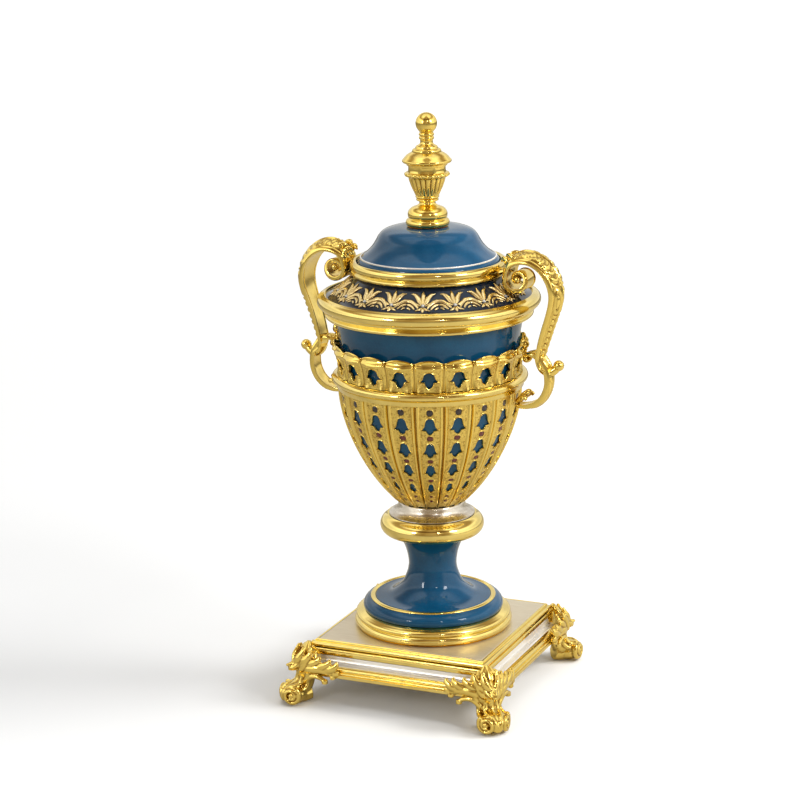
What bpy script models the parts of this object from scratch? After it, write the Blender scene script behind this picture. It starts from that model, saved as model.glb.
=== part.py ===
"""Openwork vase: a lidded two-handled urn in a pierced gilt cage, on a square footed plinth.

The origin is on the ground under the middle of the plinth, +Z is up, and the handles lie along X.
Every piece stands on the one below it, so the heights add up from the ground.
"""
import math

import bmesh
import bpy
import numpy as np
from mathutils import Matrix, Vector

MM = 0.001

# Fit between pieces that touch
GAP = 0.3 * MM
FACET_ANGLE = math.radians(38.0)
WELD = 0.25 * MM

# Plinth and its mouldings: half sizes of the square, and heights
FOOT_HEIGHT = 21.2 * MM
PLINTH_HEIGHT = 23.2 * MM
PLINTH_TOP_HALF = 60.5 * MM
PLINTH_BAND_STEP = 2.0 * MM
PLINTH_COVE_STEP = 4.6 * MM
TOP_MOULDING_HEIGHT = 10.9 * MM
TOP_MOULDING_PROUD = 4.6 * MM
BASE_MOULDING_HEIGHT = 7.0 * MM
BASE_MOULDING_PROUD = 5.8 * MM

# Leaf feet, measured from the plinth's lower corner along its diagonal
FOOT_WAIST = 15.0 * MM
FOOT_TOE_WIDTH = 24.0 * MM
FOOT_TOE_RADIUS = 6.0 * MM
FOOT_TOE_REACH = 6.6 * MM
FOOT_WING_LENGTH = 32.0 * MM
FOOT_SPUR_REACH = 6.8 * MM

# Round foot and stem
FOOT_RING_RADIUS = 55.3 * MM
FOOT_RING_HEIGHT = 11.6 * MM
PEDESTAL_HEIGHT = 53.1 * MM
OVOLO_RADIUS = 49.1 * MM
DISH_RADIUS = 40.2 * MM
STEM_RADIUS = 16.8 * MM
STEM_TOP_RADIUS = 24.6 * MM

# Knop and silver collar
KNOP_RADIUS = 36.2 * MM
KNOP_HEIGHT = 15.0 * MM
COLLAR_HEIGHT = 8.7 * MM
COLLAR_FOOT_RADIUS = 30.0 * MM

# Cage and bowl
PANELS = 20
PANEL_TURN = math.radians(4.6)
CAGE_HEIGHT = 82.3 * MM
CAGE_TOP_RADIUS = 63.6 * MM
CAGE_FOOT_RADIUS = 23.3 * MM
CAGE_WALL = 1.6 * MM
RIB_HEIGHT = 1.2 * MM
RIB_SHARE = 0.25
BOWL_WALL = 3.0 * MM
BOWL_CLEARANCE = 1.0 * MM
BOWL_NECK_INSET = 2.8 * MM
BOWL_NECK_HEIGHT = 63.0 * MM
BOWL_NECK_FLARE = 4.6 * MM
HUSK_WIDTH_SHARE = 0.42
HUSK_ROWS = ((0.834, 0.138), (0.625, 0.143), (0.443, 0.118), (0.273, 0.092))
CAGE_LEVELS = (0.0, 0.18, 0.352, 0.528, 0.73, 1.0)

# Rings and gallery round the bowl
GIRDLE_HEIGHT = 9.5 * MM
GIRDLE_PROUD = 3.8 * MM
GALLERY_HEIGHT = 21.0 * MM
GALLERY_FLARE = 3.4 * MM
GALLERY_WALL = 1.6 * MM
GALLERY_SCALLOP = 4.6 * MM
RIM_RING_HEIGHT = 15.6 * MM
RIM_RING_PROUD = 11.0 * MM
RIM_LEDGE = 4.8 * MM
RIM_LIP = 2.1 * MM

# Shoulder, mouth and lid
SHOULDER_HEIGHT = 14.4 * MM
SHOULDER_WALL = 3.2 * MM
MOUTH_RADIUS = 48.8 * MM
MOUTH_SEAT = 4.6 * MM
MOUTH_RING_HEIGHT = 10.4 * MM
MOUTH_RING_PROUD = 4.6 * MM
LID_CLEARANCE = 0.4 * MM
LID_RISE = 32.4 * MM
LID_WALL = 3.0 * MM
LID_CROWN_RADIUS = 33.2 * MM
FINIAL_HEIGHT = 76.7 * MM
FINIAL_FOOT_RADIUS = 14.8 * MM
FINIAL_CUP_RADIUS = 16.8 * MM
FINIAL_NECK_RADIUS = 4.2 * MM
FINIAL_BALL_RADIUS = 7.3 * MM

# Handles
HANDLE_REACH = 45.6 * MM
HANDLE_WIDTH = 23.0 * MM
HANDLE_TAIL_WIDTH = 13.0 * MM
HANDLE_EDGE = 4.2 * MM
HANDLE_CROWN = 4.8 * MM
HANDLE_CLEARANCE = 0.4 * MM
VOLUTE_RADIUS = 8.8 * MM
SCROLL_END_RADIUS = 3.2 * MM
BALL_RADIUS = 3.4 * MM
BUD_HEIGHT = 16.2 * MM
BUD_RADIUS = 4.0 * MM
LEAF_LENGTH = 11.0 * MM

# Sides of the turned pieces
RING_SIDES = 20
BODY_SIDES = 20
STEM_SIDES = 20
FINIAL_SIDES = 10

# Levels of the stack, each a gap above the piece that carries it
PLINTH_Z = FOOT_HEIGHT
PLINTH_TOP_Z = PLINTH_Z + PLINTH_HEIGHT
FOOT_RING_Z = PLINTH_TOP_Z + GAP
PEDESTAL_Z = FOOT_RING_Z + FOOT_RING_HEIGHT + GAP
KNOP_Z = PEDESTAL_Z + PEDESTAL_HEIGHT + GAP
COLLAR_Z = KNOP_Z + KNOP_HEIGHT + GAP
CAGE_Z = COLLAR_Z + COLLAR_HEIGHT + GAP
GIRDLE_Z = CAGE_Z + CAGE_HEIGHT + GAP
GALLERY_Z = GIRDLE_Z + GIRDLE_HEIGHT + GAP
BOWL_TOP_Z = CAGE_Z + CAGE_HEIGHT + BOWL_NECK_HEIGHT
SHOULDER_Z = BOWL_TOP_Z + GAP
RIM_RING_Z = SHOULDER_Z + RIM_LIP - RIM_RING_HEIGHT
MOUTH_Z = SHOULDER_Z + SHOULDER_HEIGHT + GAP
LID_TOP_Z = MOUTH_Z + LID_RISE
FINIAL_Z = LID_TOP_Z + GAP

# Radii and half sizes that follow from the pieces beside them
PLINTH_BAND_HALF = PLINTH_TOP_HALF + PLINTH_BAND_STEP
PLINTH_BASE_HALF = PLINTH_BAND_HALF + PLINTH_COVE_STEP
PLINTH_OUT_HALF = PLINTH_BASE_HALF + BASE_MOULDING_PROUD
BOWL_INSET = RIB_HEIGHT + CAGE_WALL + BOWL_CLEARANCE
BOWL_NECK_RADIUS = CAGE_TOP_RADIUS - BOWL_NECK_INSET
BOWL_LIP_RADIUS = BOWL_NECK_RADIUS + BOWL_NECK_FLARE
RIM_OUT_RADIUS = BOWL_LIP_RADIUS + RIM_RING_PROUD
SHOULDER_OUT_RADIUS = BOWL_LIP_RADIUS + RIM_LEDGE
MOUTH_OUT_RADIUS = MOUTH_RADIUS + MOUTH_RING_PROUD


def clear_all():
    for item in list(bpy.data.objects):
        bpy.data.objects.remove(item, do_unlink=True)


def material(name, colour, roughness, metallic):
    """A Principled material with one colour."""
    made = bpy.data.materials.new(name)
    made.use_nodes = True
    shader = made.node_tree.nodes["Principled BSDF"]
    shader.inputs["Base Color"].default_value = (*colour, 1.0)
    shader.inputs["Roughness"].default_value = roughness
    shader.inputs["Metallic"].default_value = metallic
    return made


def piece(name, build, finish=None):
    """One object from a bmesh, faces turned outwards, smooth but for its sharp edges."""
    bmesh.ops.recalc_face_normals(build, faces=build.faces[:])
    mesh = bpy.data.meshes.new(name)
    build.to_mesh(mesh)
    build.free()
    mesh.shade_smooth()
    mesh.set_sharp_from_angle(angle=FACET_ANGLE)
    made = bpy.data.objects.new(name, mesh)
    bpy.context.collection.objects.link(made)
    if finish:
        mesh.materials.append(finish)
    return made


def guide(made):
    """Marks an object that only cuts or feeds another."""
    made.hide_render = True
    made.display_type = 'WIRE'
    return made


def boolean(target, other, operation):
    step = target.modifiers.new(operation.title(), 'BOOLEAN')
    step.object = other
    step.operation = operation
    step.solver = 'EXACT'


def place_copy(name, source, turn, finish):
    """A piece with the finished shape of a source object and its modifiers, turned round Z."""
    bpy.context.view_layer.update()
    shape = bpy.data.meshes.new_from_object(source.evaluated_get(bpy.context.evaluated_depsgraph_get()))
    build = bmesh.new()
    build.from_mesh(shape)
    bmesh.ops.remove_doubles(build, verts=build.verts[:], dist=WELD)
    build.to_mesh(shape)
    build.free()
    shape.materials.clear()
    shape.materials.append(finish)
    shape.shade_smooth()
    shape.set_sharp_from_angle(angle=FACET_ANGLE)
    made = bpy.data.objects.new(name, shape)
    made.rotation_euler.z = turn
    bpy.context.collection.objects.link(made)


def turned(name, outline, sides, finish, turn=0.0):
    """A turned piece: its (radius, height) outline carried round Z.

    The outline closes on itself, or starts and ends on the axis.
    """
    build = bmesh.new()
    rings = []
    angles = [turn + math.tau * k / sides for k in range(sides)]
    for radius, height in outline:
        if radius <= 0.0:
            rings.append([build.verts.new((0.0, 0.0, height))] * sides)
        else:
            rings.append([build.verts.new((radius * math.cos(a), radius * math.sin(a), height))
                          for a in angles])
    pairs = list(zip(rings, rings[1:]))
    if outline[0][0] > 0.0:
        pairs.append((rings[-1], rings[0]))
    for low, high in pairs:
        for k in range(sides):
            corners = [low[k], low[(k + 1) % sides], high[(k + 1) % sides], high[k]]
            loop = list(dict.fromkeys(corners))
            build.faces.new(loop)
    return piece(name, build, finish)


def squared(name, outline, finish, closed=True):
    """A square moulding: its (half size, height) outline carried round four mitred corners."""
    build = bmesh.new()
    rings = []
    for half, height in outline:
        rings.append([build.verts.new((half * x, half * y, height))
                      for x, y in ((1, -1), (1, 1), (-1, 1), (-1, -1))])
    pairs = list(zip(rings, rings[1:]))
    if closed:
        pairs.append((rings[-1], rings[0]))
    else:
        build.faces.new(rings[0])
        build.faces.new(rings[-1])
    for low, high in pairs:
        for k in range(4):
            build.faces.new((low[k], low[(k + 1) % 4], high[(k + 1) % 4], high[k]))
    return piece(name, build, finish)


def lofted(name, rings, finish=None):
    """A solid through rings of points, closed by a cap at each end."""
    build = bmesh.new()
    rows = [[build.verts.new(point) for point in ring] for ring in rings]
    count = len(rows[0])
    for low, high in zip(rows, rows[1:]):
        for k in range(count):
            build.faces.new((low[k], low[(k + 1) % count], high[(k + 1) % count], high[k]))
    build.faces.new(rows[0])
    build.faces.new(rows[-1])
    return piece(name, build, finish)


def bead(centre, radius, start, end, steps):
    """Points of a round bead in an outline, from one angle to another, in degrees."""
    angles = np.radians(np.linspace(start, end, steps))
    return [(centre[0] + radius[0] * math.cos(a), centre[1] + radius[1] * math.sin(a)) for a in angles]


def offset(profile, distance):
    """A profile of (radius, height) points moved towards the axis by a distance along its normals."""
    points = np.array(profile)
    along = np.gradient(points, axis=0)
    normal = np.stack([along[:, 1], -along[:, 0]], axis=1)
    normal /= np.linalg.norm(normal, axis=1)[:, None]
    return points - distance * normal


def around(radius, sides):
    """The corner radius of a bore with this many flat sides that clears a round of this radius."""
    return (radius + GAP) / math.cos(math.pi / sides)


def cage_profile(shares):
    """The line of the rib crests at shares of the cage's height: it spreads fast, then stands upright."""
    share = np.asarray(shares)
    swell = (1.0 - (1.0 - share) ** 1.7) ** 0.84
    radius = CAGE_FOOT_RADIUS + (CAGE_TOP_RADIUS - CAGE_FOOT_RADIUS) * swell
    return np.stack([radius, CAGE_Z + CAGE_HEIGHT * share], axis=1)


def make_plinth(silver, gilt):
    """The stepped silver block and the two gilt frames round its edges."""
    band_z = PLINTH_TOP_Z - TOP_MOULDING_HEIGHT - GAP
    cove_z = PLINTH_Z + BASE_MOULDING_HEIGHT + GAP
    middle_z = 0.5 * (band_z + cove_z)
    squared("plinth", [
        (PLINTH_TOP_HALF, PLINTH_TOP_Z),
        (PLINTH_TOP_HALF, band_z),
        (PLINTH_BAND_HALF, band_z),
        (PLINTH_BAND_HALF + 0.2 * MM, middle_z + 0.4 * MM),
        (PLINTH_BAND_HALF + 1.0 * MM, middle_z - 0.4 * MM),
        (PLINTH_BASE_HALF, cove_z),
        (PLINTH_BASE_HALF, PLINTH_Z),
    ], silver, closed=False)
    inner = PLINTH_TOP_HALF + GAP
    outer = PLINTH_TOP_HALF + TOP_MOULDING_PROUD
    bottom = PLINTH_TOP_Z - TOP_MOULDING_HEIGHT
    squared("plinth_top_moulding", [
        (inner, PLINTH_TOP_Z),
        (outer - 3.0 * MM, PLINTH_TOP_Z),
        (outer - 2.6 * MM, PLINTH_TOP_Z - 1.3 * MM),
        *bead((outer - 2.4 * MM, PLINTH_TOP_Z - 3.1 * MM), (1.8 * MM, 1.7 * MM), 80, -70, 4),
        *bead((outer - 1.6 * MM, PLINTH_TOP_Z - 6.2 * MM), (1.6 * MM, 1.2 * MM), 70, -70, 4),
        (outer - 2.2 * MM, bottom + 3.2 * MM),
        (outer - 2.6 * MM, bottom),
        (inner, bottom),
    ], gilt)
    inner = PLINTH_BASE_HALF + GAP
    top = PLINTH_Z + BASE_MOULDING_HEIGHT
    squared("plinth_base_moulding", [
        (inner, top),
        (PLINTH_OUT_HALF - 1.8 * MM, top - 0.7 * MM),
        *bead((PLINTH_OUT_HALF - 1.7 * MM, top - 1.7 * MM), (0.8 * MM, 0.9 * MM), 60, -70, 3),
        (PLINTH_OUT_HALF - 0.5 * MM, top - 2.8 * MM),
        (PLINTH_OUT_HALF, top - 3.2 * MM),
        (PLINTH_OUT_HALF, PLINTH_Z),
        (inner, PLINTH_Z),
    ], gilt)


def ellipse_ring(centre, across, tall, half_across, half_tall, sides):
    """A ring of points round a centre, between two half axes."""
    ring = []
    for k in range(sides):
        angle = math.tau * (k + 0.5) / sides
        ring.append(centre + across * (half_across * math.cos(angle)) + tall * (half_tall * math.sin(angle)))
    return ring


def foot_solids():
    """The solids of one leaf foot at the +X -Y corner, along its diagonal."""
    out = Vector((1.0, -1.0, 0.0)).normalized()
    side = Vector((1.0, 1.0, 0.0)).normalized()
    up = Vector((0.0, 0.0, 1.0))
    corner = PLINTH_OUT_HALF * math.sqrt(2.0)
    leaf_top = PLINTH_TOP_Z + 1.0 * MM
    crest = (PLINTH_TOP_HALF + TOP_MOULDING_PROUD) * math.sqrt(2.0)

    def at(along, height, sideways=0.0):
        return out * along + side * sideways + up * height

    def station(along, height, thick, wide, lean):
        tall = out * math.cos(math.radians(lean)) + up * math.sin(math.radians(lean))
        return ellipse_ring(at(along, height), side, tall, 0.5 * wide, 0.5 * thick, 6)

    waist = corner - 8.6 * MM
    body = lofted("foot_body", [
        station(crest - 1.0 * MM, leaf_top, 4.0 * MM, 5.0 * MM, 20),
        station(crest + 0.5 * MM, leaf_top - 4.5 * MM, 8.0 * MM, 13.0 * MM, 25),
        station(corner - 7.0 * MM, PLINTH_Z + 12.0 * MM, 11.0 * MM, 17.0 * MM, 25),
        station(corner - 5.5 * MM, PLINTH_Z + 3.0 * MM, 13.0 * MM, 22.0 * MM, 5),
        station(waist, 0.80 * FOOT_HEIGHT, FOOT_WAIST, 17.0 * MM, -8),
        station(waist + 0.3 * MM, 0.52 * FOOT_HEIGHT, FOOT_WAIST, 15.0 * MM, -12),
        station(waist + 3.0 * MM, 0.24 * FOOT_HEIGHT, FOOT_WAIST + 2.0 * MM, 18.0 * MM, -4),
        station(waist + 3.0 * MM, -1.0 * MM, FOOT_WAIST, 15.0 * MM, 0),
    ])
    solids = [body]
    toe_at = corner + FOOT_TOE_REACH
    for hand in (-1.0, 1.0):
        rings = []
        for sideways, share in ((0.05, 0.8), (0.7, 1.0), (1.0, 0.62)):
            centre = at(toe_at, FOOT_TOE_RADIUS - 0.8 * MM, hand * sideways * 0.5 * FOOT_TOE_WIDTH)
            rings.append(ellipse_ring(centre, out, up, FOOT_TOE_RADIUS * share, FOOT_TOE_RADIUS * share, 5))
        solids.append(lofted("foot_toe", rings))
    tip = PLINTH_OUT_HALF + 1.0 * MM
    front, right = Vector((0.0, -1.0, 0.0)), Vector((1.0, 0.0, 0.0))
    wings = []
    for run, height, tall, thick, away, face in (
            (1.0, 7.0, 12.0, 4.0, front, -right), (0.6, 5.0, 17.0, 6.4, front, -right),
            (0.0, 4.0, 18.0, 9.0, front + right, out), (0.6, 5.0, 17.0, 6.4, right, -front),
            (1.0, 7.0, 12.0, 4.0, right, -front)):
        centre = Vector((tip, -tip, PLINTH_Z + height * MM)) + face * (run * FOOT_WING_LENGTH)
        wings.append(ellipse_ring(centre, away, up, 0.5 * thick * MM, 0.5 * tall * MM, 5))
    solids.append(lofted("foot_wings", wings))
    spur = [
        station(corner - 3.0 * MM, PLINTH_Z + 4.5 * MM, 10.0 * MM, 15.0 * MM, 80),
        station(corner + 0.55 * FOOT_SPUR_REACH, PLINTH_Z + 5.0 * MM, 5.0 * MM, 11.0 * MM, 70),
        station(corner + FOOT_SPUR_REACH, PLINTH_Z + 6.4 * MM, 3.0 * MM, 6.0 * MM, 60),
    ]
    solids.append(lofted("foot_spur", spur))
    return solids


def make_feet(gilt):
    """Four leaf feet: one is joined and cut to the plinth's corner, then turned to the others."""
    envelope = GAP + 0.05 * MM
    seat = guide(squared("foot_seat", [
        (PLINTH_OUT_HALF + envelope, PLINTH_Z - envelope),
        (PLINTH_OUT_HALF + envelope, PLINTH_Z + BASE_MOULDING_HEIGHT - 2.2 * MM),
        (PLINTH_BASE_HALF + 4.0 * MM, PLINTH_Z + BASE_MOULDING_HEIGHT + envelope),
        (PLINTH_BAND_HALF + 1.6 * MM, PLINTH_Z + BASE_MOULDING_HEIGHT + 2.0 * MM),
        (PLINTH_TOP_HALF + TOP_MOULDING_PROUD + envelope, PLINTH_TOP_Z - TOP_MOULDING_HEIGHT + 1.0 * MM),
        (PLINTH_TOP_HALF + TOP_MOULDING_PROUD + envelope, PLINTH_TOP_Z + 5.0 * MM),
    ], None, closed=False))
    solids = foot_solids()
    floor = guide(squared("foot_floor", [(0.2, -0.05), (0.2, 0.0)], None, closed=False))
    first = solids[0]
    for other in solids[1:]:
        guide(other)
        boolean(first, other, 'UNION')
    boolean(first, seat, 'DIFFERENCE')
    boolean(first, floor, 'DIFFERENCE')
    corners = ("front_right", "back_right", "back_left", "front_left")
    for quarter, corner in enumerate(corners):
        place_copy("foot_" + corner, first, quarter * math.pi / 2.0, gilt)
    for other in (*solids, seat, floor):
        bpy.data.objects.remove(other, do_unlink=True)


def make_stem(blue, gilt, silver):
    """The gilt foot ring, the blue spool stem, the knop and its collar."""
    bottom = FOOT_RING_Z
    edge = FOOT_RING_RADIUS
    turned("foot_ring", [
        (0.0, bottom),
        (edge - 1.6 * MM, bottom),
        *bead((edge - 3.3 * MM, bottom + 3.6 * MM), (3.3 * MM, 3.0 * MM), -55, 65, 4),
        *bead((edge - 4.2 * MM, bottom + 8.4 * MM), (3.2 * MM, 2.4 * MM), -45, 80, 4),
        (OVOLO_RADIUS + 0.6 * MM, bottom + FOOT_RING_HEIGHT),
        (0.0, bottom + FOOT_RING_HEIGHT),
    ], RING_SIDES, gilt)
    base = PEDESTAL_Z
    slim = base + 0.58 * PEDESTAL_HEIGHT
    flare = STEM_TOP_RADIUS - STEM_RADIUS
    turned("pedestal", [
        (0.0, base),
        (OVOLO_RADIUS - 0.4 * MM, base),
        (OVOLO_RADIUS, base + 2.4 * MM),
        (OVOLO_RADIUS - 1.9 * MM, base + 5.4 * MM),
        (DISH_RADIUS + 4.1 * MM, base + 7.6 * MM),
        (DISH_RADIUS, base + 8.4 * MM),
        (STEM_RADIUS + 14.0 * MM, base + 9.6 * MM),
        (STEM_RADIUS + 7.6 * MM, base + 14.0 * MM),
        (STEM_RADIUS + 2.4 * MM, base + 21.4 * MM),
        (STEM_RADIUS, slim),
        (STEM_RADIUS + 0.17 * flare, base + 0.77 * PEDESTAL_HEIGHT),
        (STEM_RADIUS + 0.46 * flare, base + 0.885 * PEDESTAL_HEIGHT),
        (STEM_TOP_RADIUS, base + PEDESTAL_HEIGHT),
        (0.0, base + PEDESTAL_HEIGHT),
    ], STEM_SIDES, blue)
    half = 0.5 * KNOP_HEIGHT
    turned("knop_ring", [
        (0.0, KNOP_Z),
        (STEM_TOP_RADIUS + 2.0 * MM, KNOP_Z),
        *bead((KNOP_RADIUS - 6.4 * MM, KNOP_Z + half), (6.4 * MM, half), -68, 84, 6),
        (0.0, KNOP_Z + KNOP_HEIGHT),
    ], STEM_SIDES, gilt)
    rise = COLLAR_FOOT_RADIUS - CAGE_FOOT_RADIUS
    turned("knop_collar", [
        (0.0, COLLAR_Z),
        (COLLAR_FOOT_RADIUS, COLLAR_Z),
        (COLLAR_FOOT_RADIUS - 0.5 * rise, COLLAR_Z + 0.26 * COLLAR_HEIGHT),
        (COLLAR_FOOT_RADIUS - 0.9 * rise, COLLAR_Z + 0.62 * COLLAR_HEIGHT),
        (CAGE_FOOT_RADIUS - 0.7 * MM, COLLAR_Z + COLLAR_HEIGHT),
        (0.0, COLLAR_Z + COLLAR_HEIGHT),
    ], STEM_SIDES, silver)


def make_bowl(blue):
    """The hollow bowl: it follows the cage from inside and flares a little to its lip."""
    outside = offset(cage_profile(CAGE_LEVELS), BOWL_INSET)
    outside[0] = (outside[0][0] - 1.5 * MM, CAGE_Z)
    inside = offset(cage_profile(CAGE_LEVELS), BOWL_INSET + BOWL_WALL)
    floor_z = CAGE_Z + 2.0 * BOWL_WALL
    inside = [point for point in inside if point[1] > floor_z + 2.0 * MM]
    neck_z = CAGE_Z + CAGE_HEIGHT
    outline = [(0.0, CAGE_Z), *map(tuple, outside[:-1])]
    outline += [(BOWL_NECK_RADIUS - 1.0 * MM, neck_z), (BOWL_NECK_RADIUS, neck_z + 0.4 * BOWL_NECK_HEIGHT),
                (BOWL_NECK_RADIUS + 0.55 * BOWL_NECK_FLARE, neck_z + 0.67 * BOWL_NECK_HEIGHT),
                (BOWL_LIP_RADIUS, neck_z + 0.8 * BOWL_NECK_HEIGHT), (BOWL_LIP_RADIUS, BOWL_TOP_Z),
                (BOWL_LIP_RADIUS - BOWL_WALL, BOWL_TOP_Z),
                (BOWL_LIP_RADIUS - BOWL_WALL, neck_z + 0.8 * BOWL_NECK_HEIGHT)]
    outline += [tuple(point) for point in reversed(inside)]
    outline += [(0.4 * CAGE_FOOT_RADIUS, floor_z), (0.0, floor_z)]
    turned("bowl", outline, BODY_SIDES, blue)


def husk_cutter(name, frames, width_height):
    """One guide object of bellflower-shaped plugs, each on its own place and slope of a wall."""
    outline = ((-0.18, 0.5), (-0.5, -0.5), (0.5, -0.5), (0.18, 0.5))
    build = bmesh.new()
    for place, (width, height, depth) in zip(frames, width_height):
        near = [build.verts.new(place @ Vector((x * width, y * height, -depth))) for x, y in outline]
        far = [build.verts.new(place @ Vector((x * width, y * height, depth))) for x, y in outline]
        build.faces.new(near)
        build.faces.new(far)
        for k in range(len(outline)):
            nxt = (k + 1) % len(outline)
            build.faces.new((near[k], near[nxt], far[nxt], far[k]))
    return guide(piece(name, build))


def wall_frame(angle, radius, height, slope):
    """A place on a wall: x runs round the vase, y up the wall, z out of it."""
    out = Vector((math.cos(angle), math.sin(angle), 0.0))
    across = Vector((-math.sin(angle), math.cos(angle), 0.0))
    climb = out * math.sin(slope) + Vector((0.0, 0.0, 1.0)) * math.cos(slope)
    normal = across.cross(climb)
    grid = Matrix((across, climb, normal)).transposed().to_4x4()
    return Matrix.Translation(out * radius + Vector((0.0, 0.0, height))) @ grid


def make_cage(gilt):
    """The pierced cage: ribs between panels, and a column of bellflower holes in each panel."""
    crest = cage_profile(CAGE_LEVELS)
    panel = offset(crest, RIB_HEIGHT)
    inner = offset(crest, RIB_HEIGHT + CAGE_WALL)
    for line in (panel, inner):
        line[0, 1] = crest[0, 1]
        line[-1, 1] = crest[-1, 1]
    pitch = math.tau / PANELS
    half_rib = 0.5 * RIB_SHARE * pitch
    build = bmesh.new()
    outer_rows = []
    inner_rows = []
    for (crest_r, crest_z), (panel_r, panel_z), (inner_r, inner_z) in zip(crest, panel, inner):
        row = []
        back = []
        for k in range(PANELS):
            rib = PANEL_TURN - math.pi / 2.0 + (k + 0.5) * pitch
            for angle, radius, height in ((rib, crest_r, crest_z), (rib + half_rib, panel_r, panel_z),
                                          (rib + pitch - half_rib, panel_r, panel_z)):
                row.append(build.verts.new((radius * math.cos(angle), radius * math.sin(angle), height)))
            back.append(build.verts.new((inner_r * math.cos(rib), inner_r * math.sin(rib), inner_z)))
        outer_rows.append(row)
        inner_rows.append(back)
    for rows in (outer_rows, inner_rows):
        count = len(rows[0])
        for low, high in zip(rows, rows[1:]):
            for k in range(count):
                build.faces.new((low[k], low[(k + 1) % count], high[(k + 1) % count], high[k]))
    for outer, back in ((outer_rows[0], inner_rows[0]), (outer_rows[-1], inner_rows[-1])):
        for k in range(PANELS):
            loop = [outer[(3 * k + step) % len(outer)] for step in range(4)]
            build.faces.new((back[k], *loop, back[(k + 1) % PANELS]))
    cage = piece("openwork_cage", build, gilt)
    frames = []
    sizes = []
    fine = offset(cage_profile(np.linspace(0.0, 1.0, 200)), RIB_HEIGHT + 0.5 * CAGE_WALL)
    for share, tall in HUSK_ROWS:
        z = CAGE_Z + CAGE_HEIGHT * share
        radius = float(np.interp(z, fine[:, 1], fine[:, 0]))
        below = float(np.interp(z - 1.0 * MM, fine[:, 1], fine[:, 0]))
        slope = math.atan2(radius - below, 1.0 * MM)
        for k in range(PANELS):
            angle = PANEL_TURN - math.pi / 2.0 + k * pitch
            frames.append(wall_frame(angle, radius * math.cos(0.5 * pitch), z, slope))
            sizes.append((HUSK_WIDTH_SHARE * pitch * radius, tall * CAGE_HEIGHT, 2.5 * CAGE_WALL))
    boolean(cage, husk_cutter("cage_piercing", frames, sizes), 'DIFFERENCE')


def make_gallery(gilt):
    """The pierced gallery: it flares outwards and ends in one scallop over each panel."""
    pitch = math.tau / PANELS
    foot = around(BOWL_NECK_RADIUS, PANELS)
    wall = foot + GALLERY_WALL
    lip_z = GALLERY_Z + GALLERY_HEIGHT - GALLERY_SCALLOP
    build = bmesh.new()

    def valleys(radius, height):
        angles = [PANEL_TURN - math.pi / 2.0 + (k - 0.5) * pitch for k in range(PANELS)]
        return [build.verts.new((radius * math.cos(a), radius * math.sin(a), height)) for a in angles]

    def crests(radius):
        angles = [PANEL_TURN - math.pi / 2.0 + k * pitch for k in range(PANELS)]
        height = lip_z + GALLERY_SCALLOP
        return [build.verts.new((radius * math.cos(a), radius * math.sin(a), height)) for a in angles]

    inner_foot = valleys(foot, GALLERY_Z)
    outer_foot = valleys(wall, GALLERY_Z)
    waist = valleys(wall + 0.75 * GALLERY_FLARE, lip_z - 2.0 * MM)
    outer_low, outer_high = valleys(wall + GALLERY_FLARE, lip_z), crests(wall + GALLERY_FLARE)
    lip = foot + GALLERY_FLARE - 0.4 * MM
    inner_low, inner_high = valleys(lip, lip_z), crests(lip)
    for k in range(PANELS):
        n = (k + 1) % PANELS
        build.faces.new((outer_foot[k], outer_foot[n], waist[n], waist[k]))
        build.faces.new((waist[k], waist[n], outer_low[n], outer_high[k], outer_low[k]))
        build.faces.new((outer_low[k], outer_high[k], inner_high[k], inner_low[k]))
        build.faces.new((outer_high[k], outer_low[n], inner_low[n], inner_high[k]))
        build.faces.new((inner_low[k], inner_high[k], inner_low[n], inner_foot[n], inner_foot[k]))
        build.faces.new((inner_foot[k], inner_foot[n], outer_foot[n], outer_foot[k]))
    gallery = piece("gallery", build, gilt)
    slope = math.atan2(0.75 * GALLERY_FLARE, lip_z - 2.0 * MM - GALLERY_Z)
    frames = []
    for k in range(PANELS):
        angle = PANEL_TURN - math.pi / 2.0 + k * pitch
        radius = foot + 0.5 * GALLERY_WALL + 0.4 * GALLERY_FLARE
        frames.append(wall_frame(angle, radius, GALLERY_Z + 0.37 * GALLERY_HEIGHT, slope))
    size = (HUSK_WIDTH_SHARE * pitch * CAGE_TOP_RADIUS, 0.52 * GALLERY_HEIGHT, 2.5 * GALLERY_WALL)
    boolean(gallery, husk_cutter("gallery_piercing", frames, [size] * PANELS), 'DIFFERENCE')


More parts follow.
